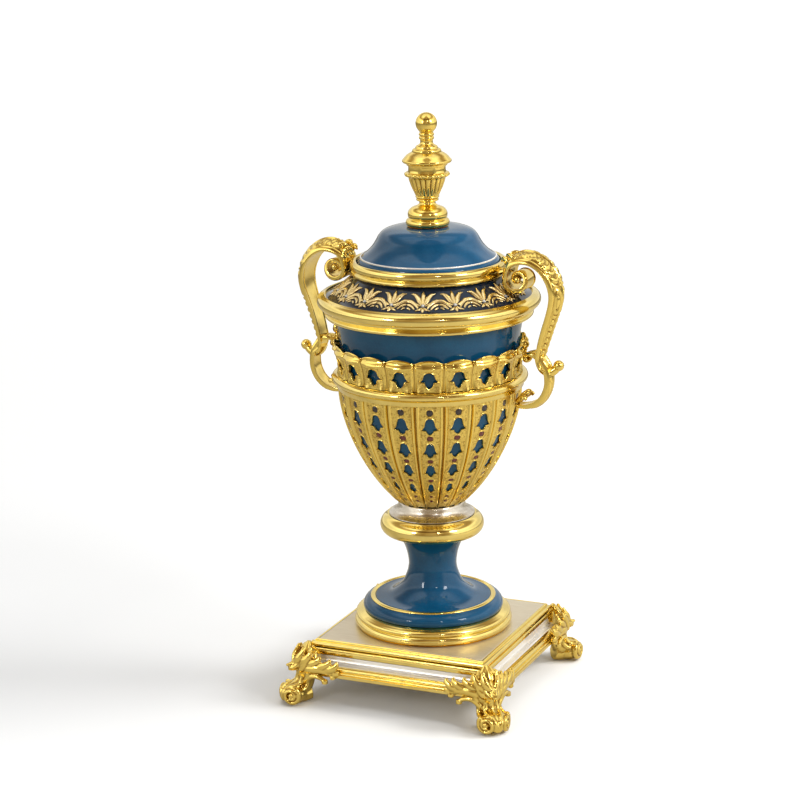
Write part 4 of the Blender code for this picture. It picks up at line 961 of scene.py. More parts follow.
FRIEZE_REPEATS = 18
FRIEZE_FOOT = 14.6    # mm down the slope from the mouth ring to the pearls
FRIEZE_START = -5.2    # degrees from the first panel to the first palmette
PETALS = (    # middle lines in (x, y) mm from the pearl, y towards the mouth, and half widths
    ([(0.0, 1.2), (0.0, 5.0), (0.0, 9.0), (0.0, 12.2)], (0.6, 1.4, 1.35, 0.15)),
    ([(0.8, 1.0), (2.3, 3.6), (3.3, 6.6), (5.2, 9.2), (7.8, 10.0)], (0.6, 1.5, 1.7, 1.3, 0.2)),
    ([(1.4, 0.0), (3.8, 0.9), (5.8, 3.4)], (0.5, 1.05, 0.3)),
    ([(3.0, -2.4), (5.0, 0.9), (7.6, 3.5), (10.4, 4.0)], (0.6, 1.2, 1.6, 1.4)),
    ([(5.4, -3.6), (7.2, -0.7), (9.1, 0.6), (10.4, 0.6)], (0.5, 1.0, 1.1, 0.9)),
    ([(8.2, -4.0), (9.3, -2.6), (10.4, -2.4)], (0.4, 0.8, 0.7)),
    ([(0.9, -1.8), (2.6, -3.8), (5.0, -5.0)], (0.4, 1.0, 0.3)),
    ([(0.0, -1.6), (0.0, -4.2), (0.0, -6.6)], (0.5, 1.3, 0.2)))


def on_shoulder(points):
    """Lays (x, y, lift) on the shoulder: x runs round it, y up its slope, lift stands out from it."""
    line = shoulder_line(np.linspace(0.0, 1.0, 120))
    run = path_length(line)
    normal = -line_normals(line)
    want = FRIEZE_FOOT * MM - points[..., 1]
    radius, height, out, rise = (np.interp(want, run, values) for values in (
        line[:, 0], line[:, 1], normal[:, 0], normal[:, 1]))
    angle = points[..., 0] / radius
    radius = radius + out * points[..., 2]
    return np.stack([radius * np.cos(angle), radius * np.sin(angle), height + rise * points[..., 2]], axis=-1)


def make_frieze():
    """Eighteen palmettes with scrolled leaves between them, in low gilt relief, and a pearl on each."""
    motif, pearls = [], Shell()
    for line, widths in PETALS:
        for hand in ((1.0,) if line[0][0] == 0.0 else (1.0, -1.0)):
            points = [(hand * x, y, 0.12) for x, y in line]
            widths = np.array(widths)
            motif.append(on_shoulder(limb(points, widths, 0.5 * widths + 0.25, (0, 0, 1), steps=5)))
    leaves = Shell()
    # painted shade on each leaf: its raised top stays bright, its flanks and underside are darkest
    edge = np.clip(1.1 - 1.6 * np.sin(np.linspace(0.0, math.tau, LIMB_SIDES, endpoint=False)), 0.0, 1.0)
    ball = on_shoulder(globe((0.0, 0.0, 0.3), (1.15, 1.15, 0.8), 7, 10))
    first = FIRST_PANEL + math.radians(FRIEZE_START)
    for repeat in range(FRIEZE_REPEATS):
        angle = first + repeat * math.tau / FRIEZE_REPEATS
        for grid in motif:
            leaves.grid(turned_about(grid, angle), around=True, polish=0.7, painted_shade=edge)
        pearls.grid(turned_about(ball, angle), around=True)
    leaves.piece("shoulder_frieze", gilt_pale, "gilt")
    pearls.piece("frieze_pearls", pearl, "silver", relief=False)


# Handles

HANDLE_EYE = (67.1, 295.5)    # middle of the upper volute, in (x, z) mm
COIL_TURN = (585.0, 190.0)    # degrees at the volute's inner and outer end
COIL_RADIUS = (1.6, 7.2)    # mm at the same ends
STRAP_LINE = [    # the bend over the top and the fall, in (x, z) mm
    (62.1, 302.7), (67.5, 306.1), (74.6, 306.7), (80.8, 304.2), (85.7, 299.6), (88.9, 293.6), (90.2, 286.8),
    (89.5, 280.2), (87.3, 272.4), (84.6, 264.2), (82.3, 256.4), (80.5, 248.8), (79.4, 242.1), (81.0, 236.6),
    (85.3, 233.1)]
STRAP_POINTS = 230
STRAP_WIDTH = (11.0, 21.0, 23.0, 16.5, 13.0)
STRAP_EDGE = 4.2
STRAP_CROWN = 4.8
SCROLL_LINE = [    # the lower C scroll, in (x, z) mm
    (71.2, 240.4), (73.0, 243.0), (76.6, 242.9), (80.4, 240.4), (84.0, 235.0), (85.4, 229.2), (85.1, 223.0),
    (82.6, 217.0), (78.3, 212.6), (72.6, 209.8), (67.4, 208.9), (64.9, 209.3)]
SCROLL_POINTS = 90
CARVED_FROM = (60.0, 76.5, 93.5)    # mm run at which the arches, the oval and the beads begin
OVAL_MIDDLE = 85.0
HANDLE_BALLS = (    # middle and radii, in mm: the scroll's roll, the ball, its shoulders and the bud
    ((71.5, 0.0, 241.0), (1.922, 6.1, 1.922)), ((71.5, 0.0, 241.0), (3.1, 5.6, 3.1)),
    ((71.5, 0.0, 241.0), (3.1, 2.8, 3.1)), ((93.9, 0.0, 237.4), (3.75, 3.75, 3.75)),
    ((86.4, -4.2, 232.6), (2.3, 1.6, 2.3)), ((86.4, 4.2, 232.6), (2.3, 1.6, 2.3)),
    ((68.6, 0.0, 255.4), (2.0, 2.4, 3.4)), ((68.9, 3.2, 252.2), (2.2, 2.3, 3.0)),
    ((68.9, -3.2, 252.2), (2.2, 2.3, 3.0)), ((70.2, 0.0, 250.4), (2.6, 3.0, 2.8)),
    ((68.9, 0.0, 246.8), (2.4, 3.4, 1.9)), ((69.6, 0.0, 243.9), (1.8, 2.2, 2.4)),
    ((67.1, -7.2, 295.5), (2.5, 2.0, 2.5)), ((67.1, 7.2, 295.5), (2.5, 2.0, 2.5)))
HANDLE_LIMBS = (    # points, half widths, half thicknesses, up way: the ball's neck, and the lug
    ([(81.6, 0.0, 238.6), (83.6, 0.0, 234.6), (87.6, 0.0, 232.6), (91.0, 0.0, 234.2), (93.2, 0.0, 236.6)],
     (5.8, 5.4, 4.2, 3.3, 2.7), (3.8, 3.7, 3.4, 3.0, 2.6), (0, 0, 1)),
    ([(53.2, 0.0, 299.2), (57.0, 0.0, 300.2), (61.5, 0.0, 301.0)],
     (6.5, 5.2, 4.2), (2.2, 1.9, 1.6), (0, 0, 1)))
HANDLE_LEAVES = (    # the same for the leaves of both sides: two on the volute, two on the scroll's end
    ([(62.8, 5.5, 303.6), (59.8, 5.8, 307.2), (56.8, 4.8, 308.6), (54.6, 3.6, 306.8)],
     (1.8, 2.6, 2.0, 0.5), (1.4, 1.6, 1.3, 0.5), (0, 1, 0.3)),
    ([(66.6, 6.4, 307.0), (63.6, 6.8, 310.4), (60.2, 5.0, 311.4), (58.0, 3.4, 309.8)],
     (1.6, 2.2, 1.7, 0.5), (1.3, 1.5, 1.2, 0.5), (0, 1, 0.3)),
    ([(64.8, 1.4, 211.0), (67.2, 4.0, 212.4), (69.8, 6.0, 214.4), (71.8, 7.0, 215.0), (73.4, 7.2, 213.8)],
     (2.0, 2.3, 2.3, 1.9, 1.1), (1.9, 2.0, 2.0, 1.7, 1.1), (-0.3, 0, 1)),
    ([(64.8, 0.49, 211.0), (67.2, 1.4, 213.0), (69.8, 2.1, 215.8), (71.8, 2.45, 217.4), (73.4, 2.52, 216.6)],
     (2.0, 2.3, 2.3, 1.9, 1.1), (1.9, 2.0, 2.0, 1.7, 1.1), (-0.3, 0, 1)))


def left_of(path):
    """Unit directions a quarter turn to the left of a line of points in XZ."""
    along = np.gradient(path, axis=0)
    along /= np.linalg.norm(along, axis=1)[:, None]
    return np.stack([-along[:, 1], along[:, 0]], axis=1)


def scrolled_leaf(run, across):
    """Carving height from 0 to 1 on a strap's back, by the length run in mm and the way across, -1 to 1.

    Paired acanthus lobes come first, then nested arches, then an oval boss in a ring, then a string of beads.
    """
    side = np.abs(across)
    flank = (side - 0.53) / 0.4
    field = np.clip((1.0 - np.abs(flank)) / 0.2, 0.0, 1.0)
    lobes = np.abs(np.sin(math.pi * (run / 7.0 + 0.45 * flank))) ** 0.5
    leaf = lobes - 0.55 * np.abs(np.sin(math.pi * (3.0 * run / 7.0 - 0.8 * flank))) * (1.0 - 0.5 * flank)
    arches = np.abs(np.sin(math.pi * (run / 4.4 + 0.55 * flank ** 2)))
    ring = np.hypot((run - OVAL_MIDDLE) / 7.5, flank / 0.85)
    oval = np.maximum(np.exp(-((ring - 0.9) / 0.2) ** 2), np.clip(1.0 - (ring / 0.55) ** 2, 0.0, 1.0) ** 0.5)
    bead = np.hypot((np.mod(run, 4.6) - 2.3) / 2.0, flank / 0.62)
    beads = np.clip(1.0 - bead ** 2, 0.0, 1.0) ** 0.5
    for start, following in zip(CARVED_FROM, (arches, oval, beads)):
        leaf = np.where(run < start, leaf, following)
    return np.clip(np.maximum(leaf * field, np.exp(-(side / 0.1) ** 4)), 0.0, 1.0)


def strap_grid(path, widths, edges, crowns, carving, columns=56):
    """A strap along an XZ path, in millimetres, as closed sections from its flat inside to its carved back.

    Between two rounded rims the back rises by the crown times the 0.9th power of one less the square of
    the way across, and the inside is dished by 0.35 mm times the same without its power.
    """
    left = left_of(path)
    run = path_length(path)[:, None]
    t = np.linspace(-1.0, 1.0, columns)[None, :]
    side = np.abs(t)
    rim = np.clip(1.0 - ((side - 0.88) / 0.12) ** 2, 0.0, 1.0) ** 0.5
    ditch = np.exp(-((side - 0.82) / 0.04) ** 2)
    wide, edge, crown, carve = (np.asarray(v, dtype=float)[:, None] for v in (widths, edges, crowns, carving))
    back = edge - 0.7 + crown * (1.0 - t ** 2) ** 0.9 + 0.7 * rim - 0.45 * ditch
    back = back + carve * (scrolled_leaf(run, t / 0.86) - 0.6)
    inside = 0.35 * (1.0 - t ** 2) + 0.2 * np.exp(-((side - 0.8) / 0.06) ** 2)
    inside = np.repeat(inside, len(path), axis=0)
    cheek = np.array([0.12, 0.38, 0.62, 0.88])[None, :]
    bulge = 0.25 * np.sin(math.pi * cheek) - 0.4 * np.exp(-((cheek - 0.5) / 0.12) ** 2)
    right_cheek = (0.5 * wide + bulge, back[:, -1:] * (1.0 - cheek) + inside[:, -1:] * cheek)
    left_cheek = (-0.5 * wide - bulge[:, ::-1], inside[:, :1] * (1.0 - cheek) + back[:, :1] * cheek)
    y = np.concatenate([0.5 * wide * t, right_cheek[0], 0.5 * wide * t[:, ::-1], left_cheek[0]], axis=1)
    rise = np.concatenate([back, right_cheek[1], inside[:, ::-1], left_cheek[1]], axis=1)
    x = path[:, :1] + left[:, :1] * rise
    z = path[:, 1:] + left[:, 1:] * rise
    return np.stack([x, y, z], axis=-1) * MM


def capped(grid):
    """A run of closed sections with a point added in the middle of each end."""
    ends = [np.repeat(grid[k].mean(axis=0)[None, None], grid.shape[1], axis=1) for k in (0, -1)]
    return np.concatenate([ends[0], grid, ends[1]])


def limb(points, widths, thicks, up, steps=6):
    """A tapered leaf or stem along a curve: elliptical sections, wide across and thin along the up way."""
    knots = np.column_stack([points, widths, thicks])
    line = curve(knots, steps)
    path = line[:, :3]
    along = np.gradient(path, axis=0)
    along /= np.linalg.norm(along, axis=1)[:, None]
    up = np.broadcast_to(np.asarray(up, dtype=float), along.shape)
    up = up - (up * along).sum(axis=1)[:, None] * along
    up /= np.linalg.norm(up, axis=1)[:, None]
    across = np.cross(along, up)
    angle = np.linspace(0.0, math.tau, LIMB_SIDES, endpoint=False)
    wide, thick = np.maximum(line[:, 3:4], 0.05), np.maximum(line[:, 4:5], 0.05)
    grid = (path[:, None] + (wide * np.cos(angle))[:, :, None] * across[:, None]
            + (thick * np.sin(angle))[:, :, None] * up[:, None])
    return capped(grid) * MM


def globe(centre, radii, rows=9, sides=14):
    """A ball or bud: an ellipsoid round its centre, in millimetres."""
    rise = np.linspace(-math.pi / 2.0, math.pi / 2.0, rows)[:, None]
    angle = np.linspace(0.0, math.tau, sides, endpoint=False)[None, :]
    unit = np.stack([np.cos(rise) * np.cos(angle), np.cos(rise) * np.sin(angle),
                     np.sin(rise) * np.ones_like(angle)], axis=-1)
    return (np.asarray(centre) + unit * radii) * MM


def volute_line():
    """The strap's inner line, in (x, z) mm: the coil out from the eye, the bend over the top and the fall."""
    turn = np.radians(np.linspace(*COIL_TURN, 44))
    radius = np.interp(turn, (turn[-1], turn[0]), COIL_RADIUS[::-1])
    coil = HANDLE_EYE + np.stack([radius * np.cos(turn), radius * np.sin(turn)], axis=1)
    strap = curve(np.concatenate([coil[-1:], STRAP_LINE]), 8)
    return resample(np.concatenate([coil[:-1], strap]), STRAP_POINTS)


def handle_parts(shell, hand):
    """Every grid of one handle: strap, C scroll, balls and buds, leaves, neck and lug."""
    flip = np.array([hand, hand, 1.0])
    share = np.linspace(0.0, 1.0, STRAP_POINTS)
    widths = np.interp(share, (0.0, 0.16, 0.5, 0.72, 1.0), STRAP_WIDTH)
    edges = STRAP_EDGE * np.interp(share, (0.0, 0.1, 0.38, 0.55, 0.92, 1.0),
                                   (0.55, 0.65, 0.75, 0.74, 0.62, 0.4))
    crowns = STRAP_CROWN * np.interp(share, (0.0, 0.2, 0.28, 0.36, 0.5, 0.8, 0.95, 1.0),
                                     (0.08, 0.12, 0.7, 1.15, 0.9, 0.8, 0.45, 0.2))
    carving = 1.25 * np.interp(share, (0.0, 0.2, 0.28, 0.9, 1.0), (0.0, 0.0, 1.0, 1.0, 0.3))
    shell.grid(capped(strap_grid(volute_line(), widths, edges, crowns, carving)) * flip, around=True)
    share = np.linspace(0.0, 1.0, SCROLL_POINTS)
    widths = np.interp(share, (0.0, 0.1, 0.8, 1.0), (9.0, 11.0, 11.5, 10.0))
    edges = np.interp(share, (0.0, 0.15, 0.8, 1.0), (1.6, 3.6, 3.6, 2.2))
    crowns = np.interp(share, (0.0, 0.2, 0.8, 1.0), (0.3, 2.0, 1.8, 0.6))
    carving = np.full(SCROLL_POINTS, 0.5)
    scroll = resample(curve(SCROLL_LINE, 8), SCROLL_POINTS)
    shell.grid(capped(strap_grid(scroll, widths, edges, crowns, carving, 24)) * flip, around=True)
    for middle, radii in HANDLE_BALLS:
        shell.grid(globe(middle, radii) * flip, around=True)
    for points, widths, thicks, way in HANDLE_LIMBS:
        shell.grid(limb(points, widths, thicks, way) * flip, around=True)
    for points, widths, thicks, way in HANDLE_LEAVES:
        for side in (-1.0, 1.0):
            shell.grid(limb(np.array(points) * (1.0, side, 1.0), widths, thicks, way) * flip, around=True)


def make_handles():
    """The two scroll handles, one the other turned half round."""
    for name, hand in (("scroll_handle_right", 1.0), ("scroll_handle_left", -1.0)):
        shell = Shell()
        handle_parts(shell, hand)
        # painted shade is worked into the handles' hollows
        shell.piece(name, gilt_carved, "gilt", ["handle_right" if hand > 0.0 else "handle_left"], shade_hollows=True)


# Leaf feet

CORNER = PLINTH_OUT * math.sqrt(2.0)
FOOT_GRAIN = 0.5 * MM    # size of the voxels that melt the limbs into one
TOE_TURN = (2.2, 11.6)    # radians at the coil's outer and inner end
TOE_STEPS = 20
TOE_MIDDLE = (108.6, 6.0, 7.8)    # middle of the coil, in (out, side, height) mm
TOE_AXIS = (0.67, 0.74)    # the level way in which the coil rises, in (out, side)


def along_face(run, height, away):
    """A point on the wing, in (out, side, height): run back from the corner along one plinth face."""
    return (CORNER + (away - run) / math.sqrt(2.0), (run + away) / math.sqrt(2.0), height)


def toe_coil():
    """The volute on a toe's side, in (out, side, height): a spiral round the toe's middle.

    Its radius falls evenly with the turn, and it rises evenly along the toe's own level axis.
    """
    turn = np.linspace(*TOE_TURN, TOE_STEPS)
    radius = 6.2 - 0.44 * (turn - turn[0])
    lift = 0.9 + 0.22 * (turn - turn[0])
    reach = radius * np.cos(turn)
    out, side, height = TOE_MIDDLE
    along, across = TOE_AXIS
    return np.stack([out + across * reach + along * lift, side - along * reach + across * lift,
                     height + radius * np.sin(turn)], axis=1)


def foot_limbs():
    """The limbs of one foot in (out, side, height): each is points, half widths, half thicknesses, up way."""
    up = (0.0, 0.0, 1.0)
    middle = [
        ([(92.6, 0, 43.2), (94.2, 0, 39.5), (96.2, 0, 34.5), (97.6, 0, 29.0), (97.0, 0, 24.0),
          (96.0, 0, 19.0), (96.8, 0, 14.5), (99.0, 0, 10.5), (102.0, 0, 7.4)],
         (2.2, 5.5, 8.2, 9.2, 9.0, 7.6, 6.8, 6.8, 7.6),
         (1.2, 2.6, 4.0, 5.4, 6.2, 6.2, 6.4, 6.4, 6.0), (1, 0, 0)),
        ([(96.5, 0, 38.5), (99.3, 0, 33.6), (103.2, 0, 29.8), (107.2, 0, 28.2), (110.2, 0, 28.2)],
         (1.6, 2.6, 2.8, 2.2, 1.1), (1.4, 2.0, 2.2, 1.5, 0.8), (0.6, 0, 1)),
        ([(101.5, 0, 25.6), (105.2, 0, 24.8), (108.8, 0, 24.9)], (2.6, 2.2, 1.0), (1.6, 1.4, 0.8), up),
        ([(93.0, 0, 7.0), (98.0, 0, 6.4), (103.5, 0, 6.2), (108.0, 0, 6.2)],
         (6.0, 6.8, 7.0, 5.2), (6.0, 6.4, 6.1, 5.6), up),
        ([(100.0, 0, 15.0), (104.0, 0, 11.6), (109.0, 0, 9.4), (112.0, 0, 6.4), (111.6, 0, 3.4)],
         (4.6, 5.4, 5.6, 5.0, 3.6), (3.4, 3.6, 3.6, 3.2, 2.6), (1, 0, 1)),
        ([(101.4, 0, 22.0), (101.8, 0, 17.4), (104.4, 0, 13.4), (108.6, 0, 11.6), (112.6, 0, 9.6)],
         (1.4, 1.5, 1.7, 1.6, 0.8), (1.6, 1.5, 1.4, 1.3, 0.8), (1, 0, 0.6))]
    pairs = [
        ([(95.4, 2.4, 40.2), (98.6, 3.4, 34.6), (102.2, 3.6, 29.6), (106.0, 2.4, 26.8), (108.4, 1.2, 26.4)],
         (1.2, 2.0, 2.2, 1.7, 0.7), (1.0, 1.6, 1.8, 1.4, 0.7), (0.8, 0.3, 1)),
        ([(93.4, 5.6, 40.6), (96.2, 7.4, 36.0), (99.4, 7.6, 30.6), (101.4, 6.0, 26.0), (102.0, 3.4, 23.6)],
         (0.8, 1.9, 2.5, 2.1, 0.9), (0.8, 1.5, 1.9, 1.7, 0.9), (1, 0.6, 0.6)),
        ([(91.0, 8.2, 38.4), (93.4, 10.6, 33.0), (95.8, 10.8, 27.6), (97.2, 9.2, 22.6), (98.2, 7.4, 17.0)],
         (0.7, 1.9, 2.5, 2.1, 1.2), (0.8, 1.6, 1.9, 1.7, 1.2), (0.6, 1, 0.3)),
        ([(100.6, 3.6, 23.4), (100.8, 4.0, 18.6), (102.2, 4.4, 14.8), (105.8, 4.4, 13.2), (109.6, 3.4, 12.4),
          (113.4, 2.2, 9.6), (114.2, 1.6, 5.4)],
         (1.0, 1.4, 1.7, 1.9, 1.8, 1.5, 1.0), (1.2, 1.3, 1.4, 1.6, 1.6, 1.4, 1.0), (1, 0, 0.6)),
        ([(97.0, 8.4, 20.0), (97.2, 7.6, 15.6), (99.4, 8.4, 12.4), (102.6, 9.6, 11.6)],
         (1.2, 1.4, 1.5, 1.1), (1.4, 1.5, 1.5, 1.1), (0.4, 1, 0)),
        ([(101.0, 1.0, 6.8), (105.6, 3.6, 7.4), (109.2, 6.7, 7.8)], (6.4, 6.8, 5.4), (6.4, 6.8, 5.4), up),
        ([(109.0, 6.4, 7.8), (111.0, 8.4, 7.8)], (2.2, 1.4), (2.2, 1.4), up),
        (toe_coil(), np.linspace(1.7, 0.94, TOE_STEPS), np.linspace(2.0, 1.05, TOE_STEPS), (*TOE_AXIS, 0))]
    wing = [
        ([(7.5, 24.0, 0.6), (10.5, 26.0, 2.2), (15.0, 27.2, 2.9), (20.5, 27.2, 2.6), (26.0, 26.2, 2.2),
          (30.0, 25.0, 1.8)],
         (2.6, 3.3, 3.3, 3.1, 2.8, 2.2), (2.0, 2.6, 2.5, 2.3, 2.0, 1.6)),
        ([(22.0, 27.4, 2.4), (27.6, 28.6, 2.9), (31.4, 31.0, 2.5), (32.4, 34.0, 1.7)],
         (2.4, 2.8, 2.3, 1.1), (1.8, 2.1, 1.7, 1.0)),
        ([(17.0, 27.8, 2.6), (22.6, 30.4, 3.1), (26.2, 32.6, 2.7), (27.2, 35.4, 1.8)],
         (2.2, 2.6, 2.1, 1.0), (1.8, 2.0, 1.6, 0.9)),
        ([(10.5, 27.6, 2.2), (14.6, 31.2, 2.9), (18.2, 33.6, 2.6), (19.6, 36.4, 1.8)],
         (2.4, 2.7, 2.2, 1.0), (1.9, 2.0, 1.6, 0.9)),
        ([(5.0, 27.6, 2.0), (8.2, 32.0, 2.8), (11.2, 35.8, 2.4), (12.2, 39.2, 1.4)],
         (2.4, 2.9, 2.2, 1.0), (1.9, 2.0, 1.6, 0.9)),
        ([(0.6, 29.0, 1.8), (3.4, 33.4, 2.4), (5.8, 37.4, 1.4), (6.2, 41.0, 0.0)],
         (2.2, 2.6, 2.0, 1.0), (1.8, 1.9, 1.5, 0.9)),
        ([(6.6, 11.5, -0.8), (8.0, 16.4, 1.2), (11.0, 20.4, 2.2), (15.6, 21.8, 2.6), (20.4, 20.8, 2.6),
          (23.0, 18.6, 2.4)],
         (1.6, 2.2, 2.2, 1.8, 1.6, 1.7), (1.6, 2.0, 2.0, 1.8, 1.7, 1.7)),
        ([(22.8, 20.2, 2.4), (23.0, 17.2, 2.4)], (2.3, 2.2), (2.2, 2.2)),
        ([(30.8, 27.0, 2.0), (31.4, 24.0, 2.0)], (2.9, 2.7), (2.2, 2.2)),
        ([(28.8, 23.6, 2.0), (29.4, 21.2, 2.0)], (2.5, 2.3), (2.0, 2.0))]
    limbs = list(middle)
    for hand in (1.0, -1.0):
        mirror = np.array([1.0, hand, 1.0])
        for points, widths, thicks, way in pairs:
            limbs.append((np.array(points) * mirror, widths, thicks, np.array(way) * mirror))
        for points, widths, thicks in wing:
            placed = np.array([along_face(run, height, away) for run, height, away in points])
            limbs.append((placed * mirror, widths, thicks, np.array((1.0, 1.0, 0.0)) * mirror))
    return limbs


def fused(shell, grain, rounds):
    """Melts a shell's overlapping limbs into one cast skin, with the voxel remesh, and softens it."""
    mesh = bpy.data.meshes.new("melt")
    mesh.from_pydata(np.concatenate(shell.points), [], np.concatenate(shell.faces))
    face_out(mesh, WELD)
    thing = bpy.data.objects.new("melt", mesh)
    bpy.context.collection.objects.link(thing)
    remesh = thing.modifiers.new("melt", 'REMESH')
    remesh.mode = 'VOXEL'
    remesh.voxel_size = grain
    soften = thing.modifiers.new("soften", 'SMOOTH')
    soften.factor = 0.5
    soften.iterations = rounds
    cast = bpy.data.meshes.new_from_object(thing.evaluated_get(bpy.context.evaluated_depsgraph_get()))
    points = np.empty(3 * len(cast.vertices), dtype=np.float32)
    cast.vertices.foreach_get("co", points)
    corners = np.empty(len(cast.loops), dtype=np.int32)
    cast.loops.foreach_get("vertex_index", corners)
    bpy.data.objects.remove(thing, do_unlink=True)
    return points.reshape(-1, 3).astype(float), corners.reshape(-1, 4)


def make_feet():
    """Four leaf feet: one is cast from its limbs, kept flat on the ground, and turned to each corner."""
    shell = Shell()
    for points, widths, thicks, way in foot_limbs():
        shell.grid(limb(points, widths, thicks, way), around=True)
    points, faces = fused(shell, FOOT_GRAIN, 2)
    points[:, 2] = np.maximum(points[:, 2], 0.0)
    for quarter, corner in enumerate(("front_right", "back_right", "back_left", "front_left")):
        angle = -math.pi / 4.0 + quarter * math.pi / 2.0
        foot = Shell()
        foot.points, foot.faces, foot.count = [turned_about(points, angle)], [faces], len(points)
        foot.polish, foot.painted_shade = [np.ones(len(points))], [np.zeros(len(points))]
        # painted shade is worked into the feet's hollows
        foot.piece("leaf_foot_" + corner, gilt_carved, "gilt", ["foot_" + corner], shade_hollows=True)


# Studio

WORLD_STOPS = (    # height of the direction from -1 to 1, and the studio's colour there
    (-1.0, (0.45, 0.39, 0.3)), (-0.05, (0.45, 0.39, 0.3)), (0.03, (1.2, 1.18, 1.12)),
    (0.2, (1.0, 0.98, 0.94)), (0.34, (1.0, 0.98, 0.93)), (0.5, (1.45, 1.42, 1.35)),
    (0.62, (0.5, 0.38, 0.24)), (0.74, (0.42, 0.3, 0.17)), (0.86, (1.25, 1.22, 1.15)),
    (1.0, (1.3, 1.28, 1.22)))
WORLD_TURNS = (    # 1 towards the front and -1 behind, and the colour that it is multiplied by there
    (-1.0, (0.82, 0.81, 0.79)), (-0.3, (0.98, 0.97, 0.95)), (0.1, (1.3, 1.3, 1.27)),
    (0.62, (1.35, 1.33, 1.28)), (0.8, (0.4, 0.31, 0.2)), (0.93, (0.3, 0.21, 0.11)),
    (1.0, (0.45, 0.36, 0.25)))
SOFT_BOXES = (    # name, screen right, towards the camera and height in metres, width and height, watts
    ("key_box", (1.25, 0.1, 1.05), (0.6, 0.6), 17.0),
    ("right_window", (1.0, 0.8, 0.95), (0.3, 0.38), 5.0),
    ("left_window", (-0.95, 1.0, 0.8), (0.17, 0.3), 2.6),
    ("front_window", (0.35, 1.5, 1.1), (0.09, 0.12), 1.3),
    ("overhead_box", (0.2, -0.3, 1.9), (1.9, 1.9), 14.0))
UNSEEN_BOXES = ("key_box", "overhead_box")    # too broad to mirror: they only light
FLOOR_HALF = 12.0
FLOOR_SEEN = (0.93, 0.93, 0.925)    # the paper as the camera sees it
FLOOR_MIRRORED = (0.58, 0.53, 0.43)    # the paper as the vase mirrors it
FLOOR_GLOW = (0.3, 3.2, 0.0, 0.85)    # nearest and farthest metres from the vase, and the light added there
FILL = (0.42, 0.42, 0.42)    # the studio's light on matte surfaces
WHITE = (1.0, 1.0, 1.0)
FRONT = Vector((math.sin(VIEW_AZIMUTH), -math.cos(VIEW_AZIMUTH), 0.0))
RIGHT = Vector((math.cos(VIEW_AZIMUTH), math.sin(VIEW_AZIMUTH), 0.0))
LAMP_AIM = Vector((0.0, 0.0, 0.2))


def make_floor():
    """A white paper floor that fades into the white behind it."""
    half = FLOOR_HALF
    floor = bpy.data.meshes.new("floor")
    corners = [(-half, -half, 0), (half, -half, 0), (half, half, 0), (-half, half, 0)]
    floor.from_pydata(corners, [], [(0, 1, 2, 3)])
    paper, tree, shader = principled("paper")
    sight = tree.add('ShaderNodeLightPath').outputs['Is Camera Ray']
    tree.join(tree.blended(sight, FLOOR_MIRRORED, FLOOR_SEEN), shader.inputs['Base Color'])
    reach = tree.add('ShaderNodeVectorMath', operation='LENGTH')
    tree.join(tree.add('ShaderNodeTexCoord').outputs['Object'], reach.inputs[0])
    glow = tree.ranged(reach.outputs['Value'], *FLOOR_GLOW)
    tree.join(tree.worked('MULTIPLY', glow, sight), shader.inputs['Emission Strength'])
    shader.inputs['Emission Color'].default_value = (1.0, 1.0, 0.99, 1.0)
    shader.inputs['Roughness'].default_value = 0.9
    shader.inputs['Specular IOR Level'].default_value = 0.1
    floor.materials.append(paper)
    ground = bpy.data.objects.new("floor", floor)
    bpy.context.collection.objects.link(ground)


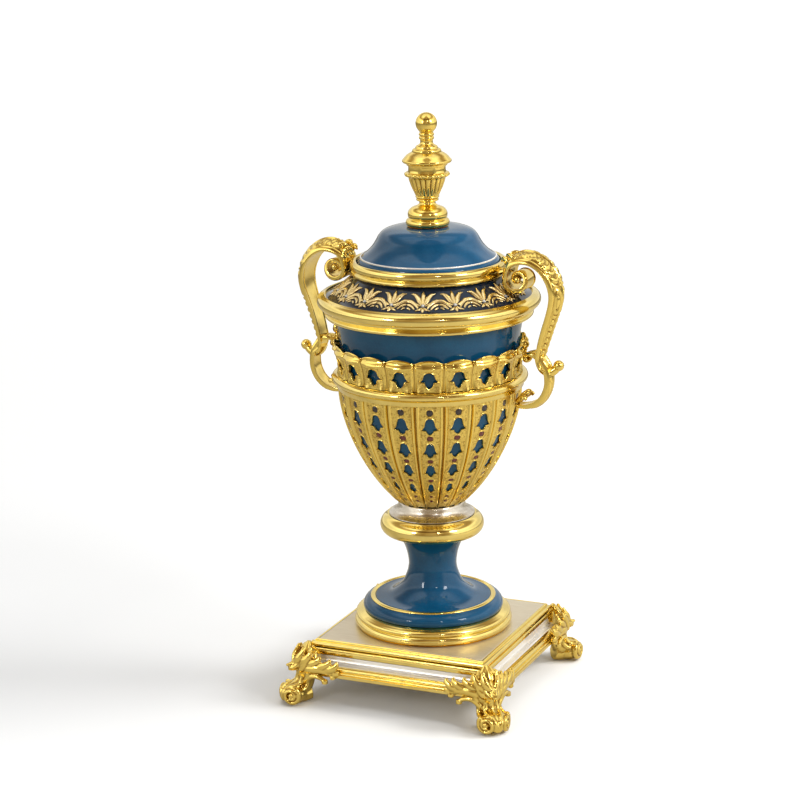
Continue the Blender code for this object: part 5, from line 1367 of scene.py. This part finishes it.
def make_room():
    """The pale studio round the vase, with darker bands for the metal to mirror.

    Its colour is the one for the direction's height times the one for its turn away from the front.
    """
    world = bpy.data.worlds.new("studio")
    bpy.context.scene.world = world
    world.use_nodes = True
    tree = NodeTree(world.node_tree)
    background = world.node_tree.nodes['Background']
    direction = tree.add('ShaderNodeTexCoord').outputs['Generated']
    split = tree.add('ShaderNodeSeparateXYZ')
    tree.join(direction, split.inputs[0])
    rise = split.outputs['Z']
    front = tree.add('ShaderNodeVectorMath', operation='DOT_PRODUCT')
    tree.join(direction, front.inputs[0])
    front.inputs[1].default_value = FRONT
    level = tree.worked('SUBTRACT', 1.0, tree.worked('MULTIPLY', rise, rise))
    level = tree.worked('MAXIMUM', tree.worked('SQRT', level, 0.0), 0.05)
    turn = tree.worked('DIVIDE', front.outputs['Value'], level)
    room = tree.blended(1.0, tree.ramped(rise, WORLD_STOPS), tree.ramped(turn, WORLD_TURNS), 'MULTIPLY')
    path = tree.add('ShaderNodeLightPath')
    mirrored = tree.blended(path.outputs['Is Glossy Ray'], FILL, room)
    tree.join(tree.blended(path.outputs['Is Camera Ray'], mirrored, WHITE), background.inputs['Color'])
    background.inputs['Strength'].default_value = 1.0
    bpy.context.scene.view_settings.view_transform = 'Standard'


def make_lamps():
    """The five soft boxes, each turned towards the middle of the vase."""
    for name, (across, front, height), size, power in SOFT_BOXES:
        light = bpy.data.lights.new(name, 'AREA')
        light.shape = 'RECTANGLE'
        light.size, light.size_y = size
        light.energy = power
        lamp = bpy.data.objects.new(name, light)
        lamp.location = across * RIGHT + front * FRONT + Vector((0.0, 0.0, height))
        lamp.rotation_euler = (LAMP_AIM - lamp.location).to_track_quat('-Z', 'Y').to_euler()
        lamp.visible_glossy = name not in UNSEEN_BOXES
        bpy.context.collection.objects.link(lamp)


def make_camera():
    """The camera at the photograph's angle, from its azimuth, height, roll and focal length."""
    ahead = Vector((-math.sin(VIEW_AZIMUTH) * math.cos(VIEW_HEIGHT),
                    math.cos(VIEW_AZIMUTH) * math.cos(VIEW_HEIGHT), -math.sin(VIEW_HEIGHT)))
    up = RIGHT.cross(ahead)
    target = Vector((0.0, 0.0, VIEW_TARGET_Z)) + VIEW_TARGET_SIDE * RIGHT
    turned_right = math.cos(VIEW_ROLL) * RIGHT + math.sin(VIEW_ROLL) * up
    turned_up = math.cos(VIEW_ROLL) * up - math.sin(VIEW_ROLL) * RIGHT
    data = bpy.data.cameras.new("camera")
    data.sensor_width = SENSOR_MM
    data.lens = SENSOR_MM * FOCAL_PIXELS / FRAME_PIXELS
    camera = bpy.data.objects.new("camera", data)
    grid = Matrix((turned_right, turned_up, -ahead)).transposed().to_4x4()
    camera.matrix_world = Matrix.Translation(target - VIEW_DISTANCE * ahead) @ grid
    bpy.context.collection.objects.link(camera)
    bpy.context.scene.camera = camera


make_camera()
make_floor()
make_room()
make_lamps()
make_plinth()
make_stem()
make_body()
make_lid()
make_finial()
make_cage()
make_gallery()
make_frieze()
make_handles()
make_feet()
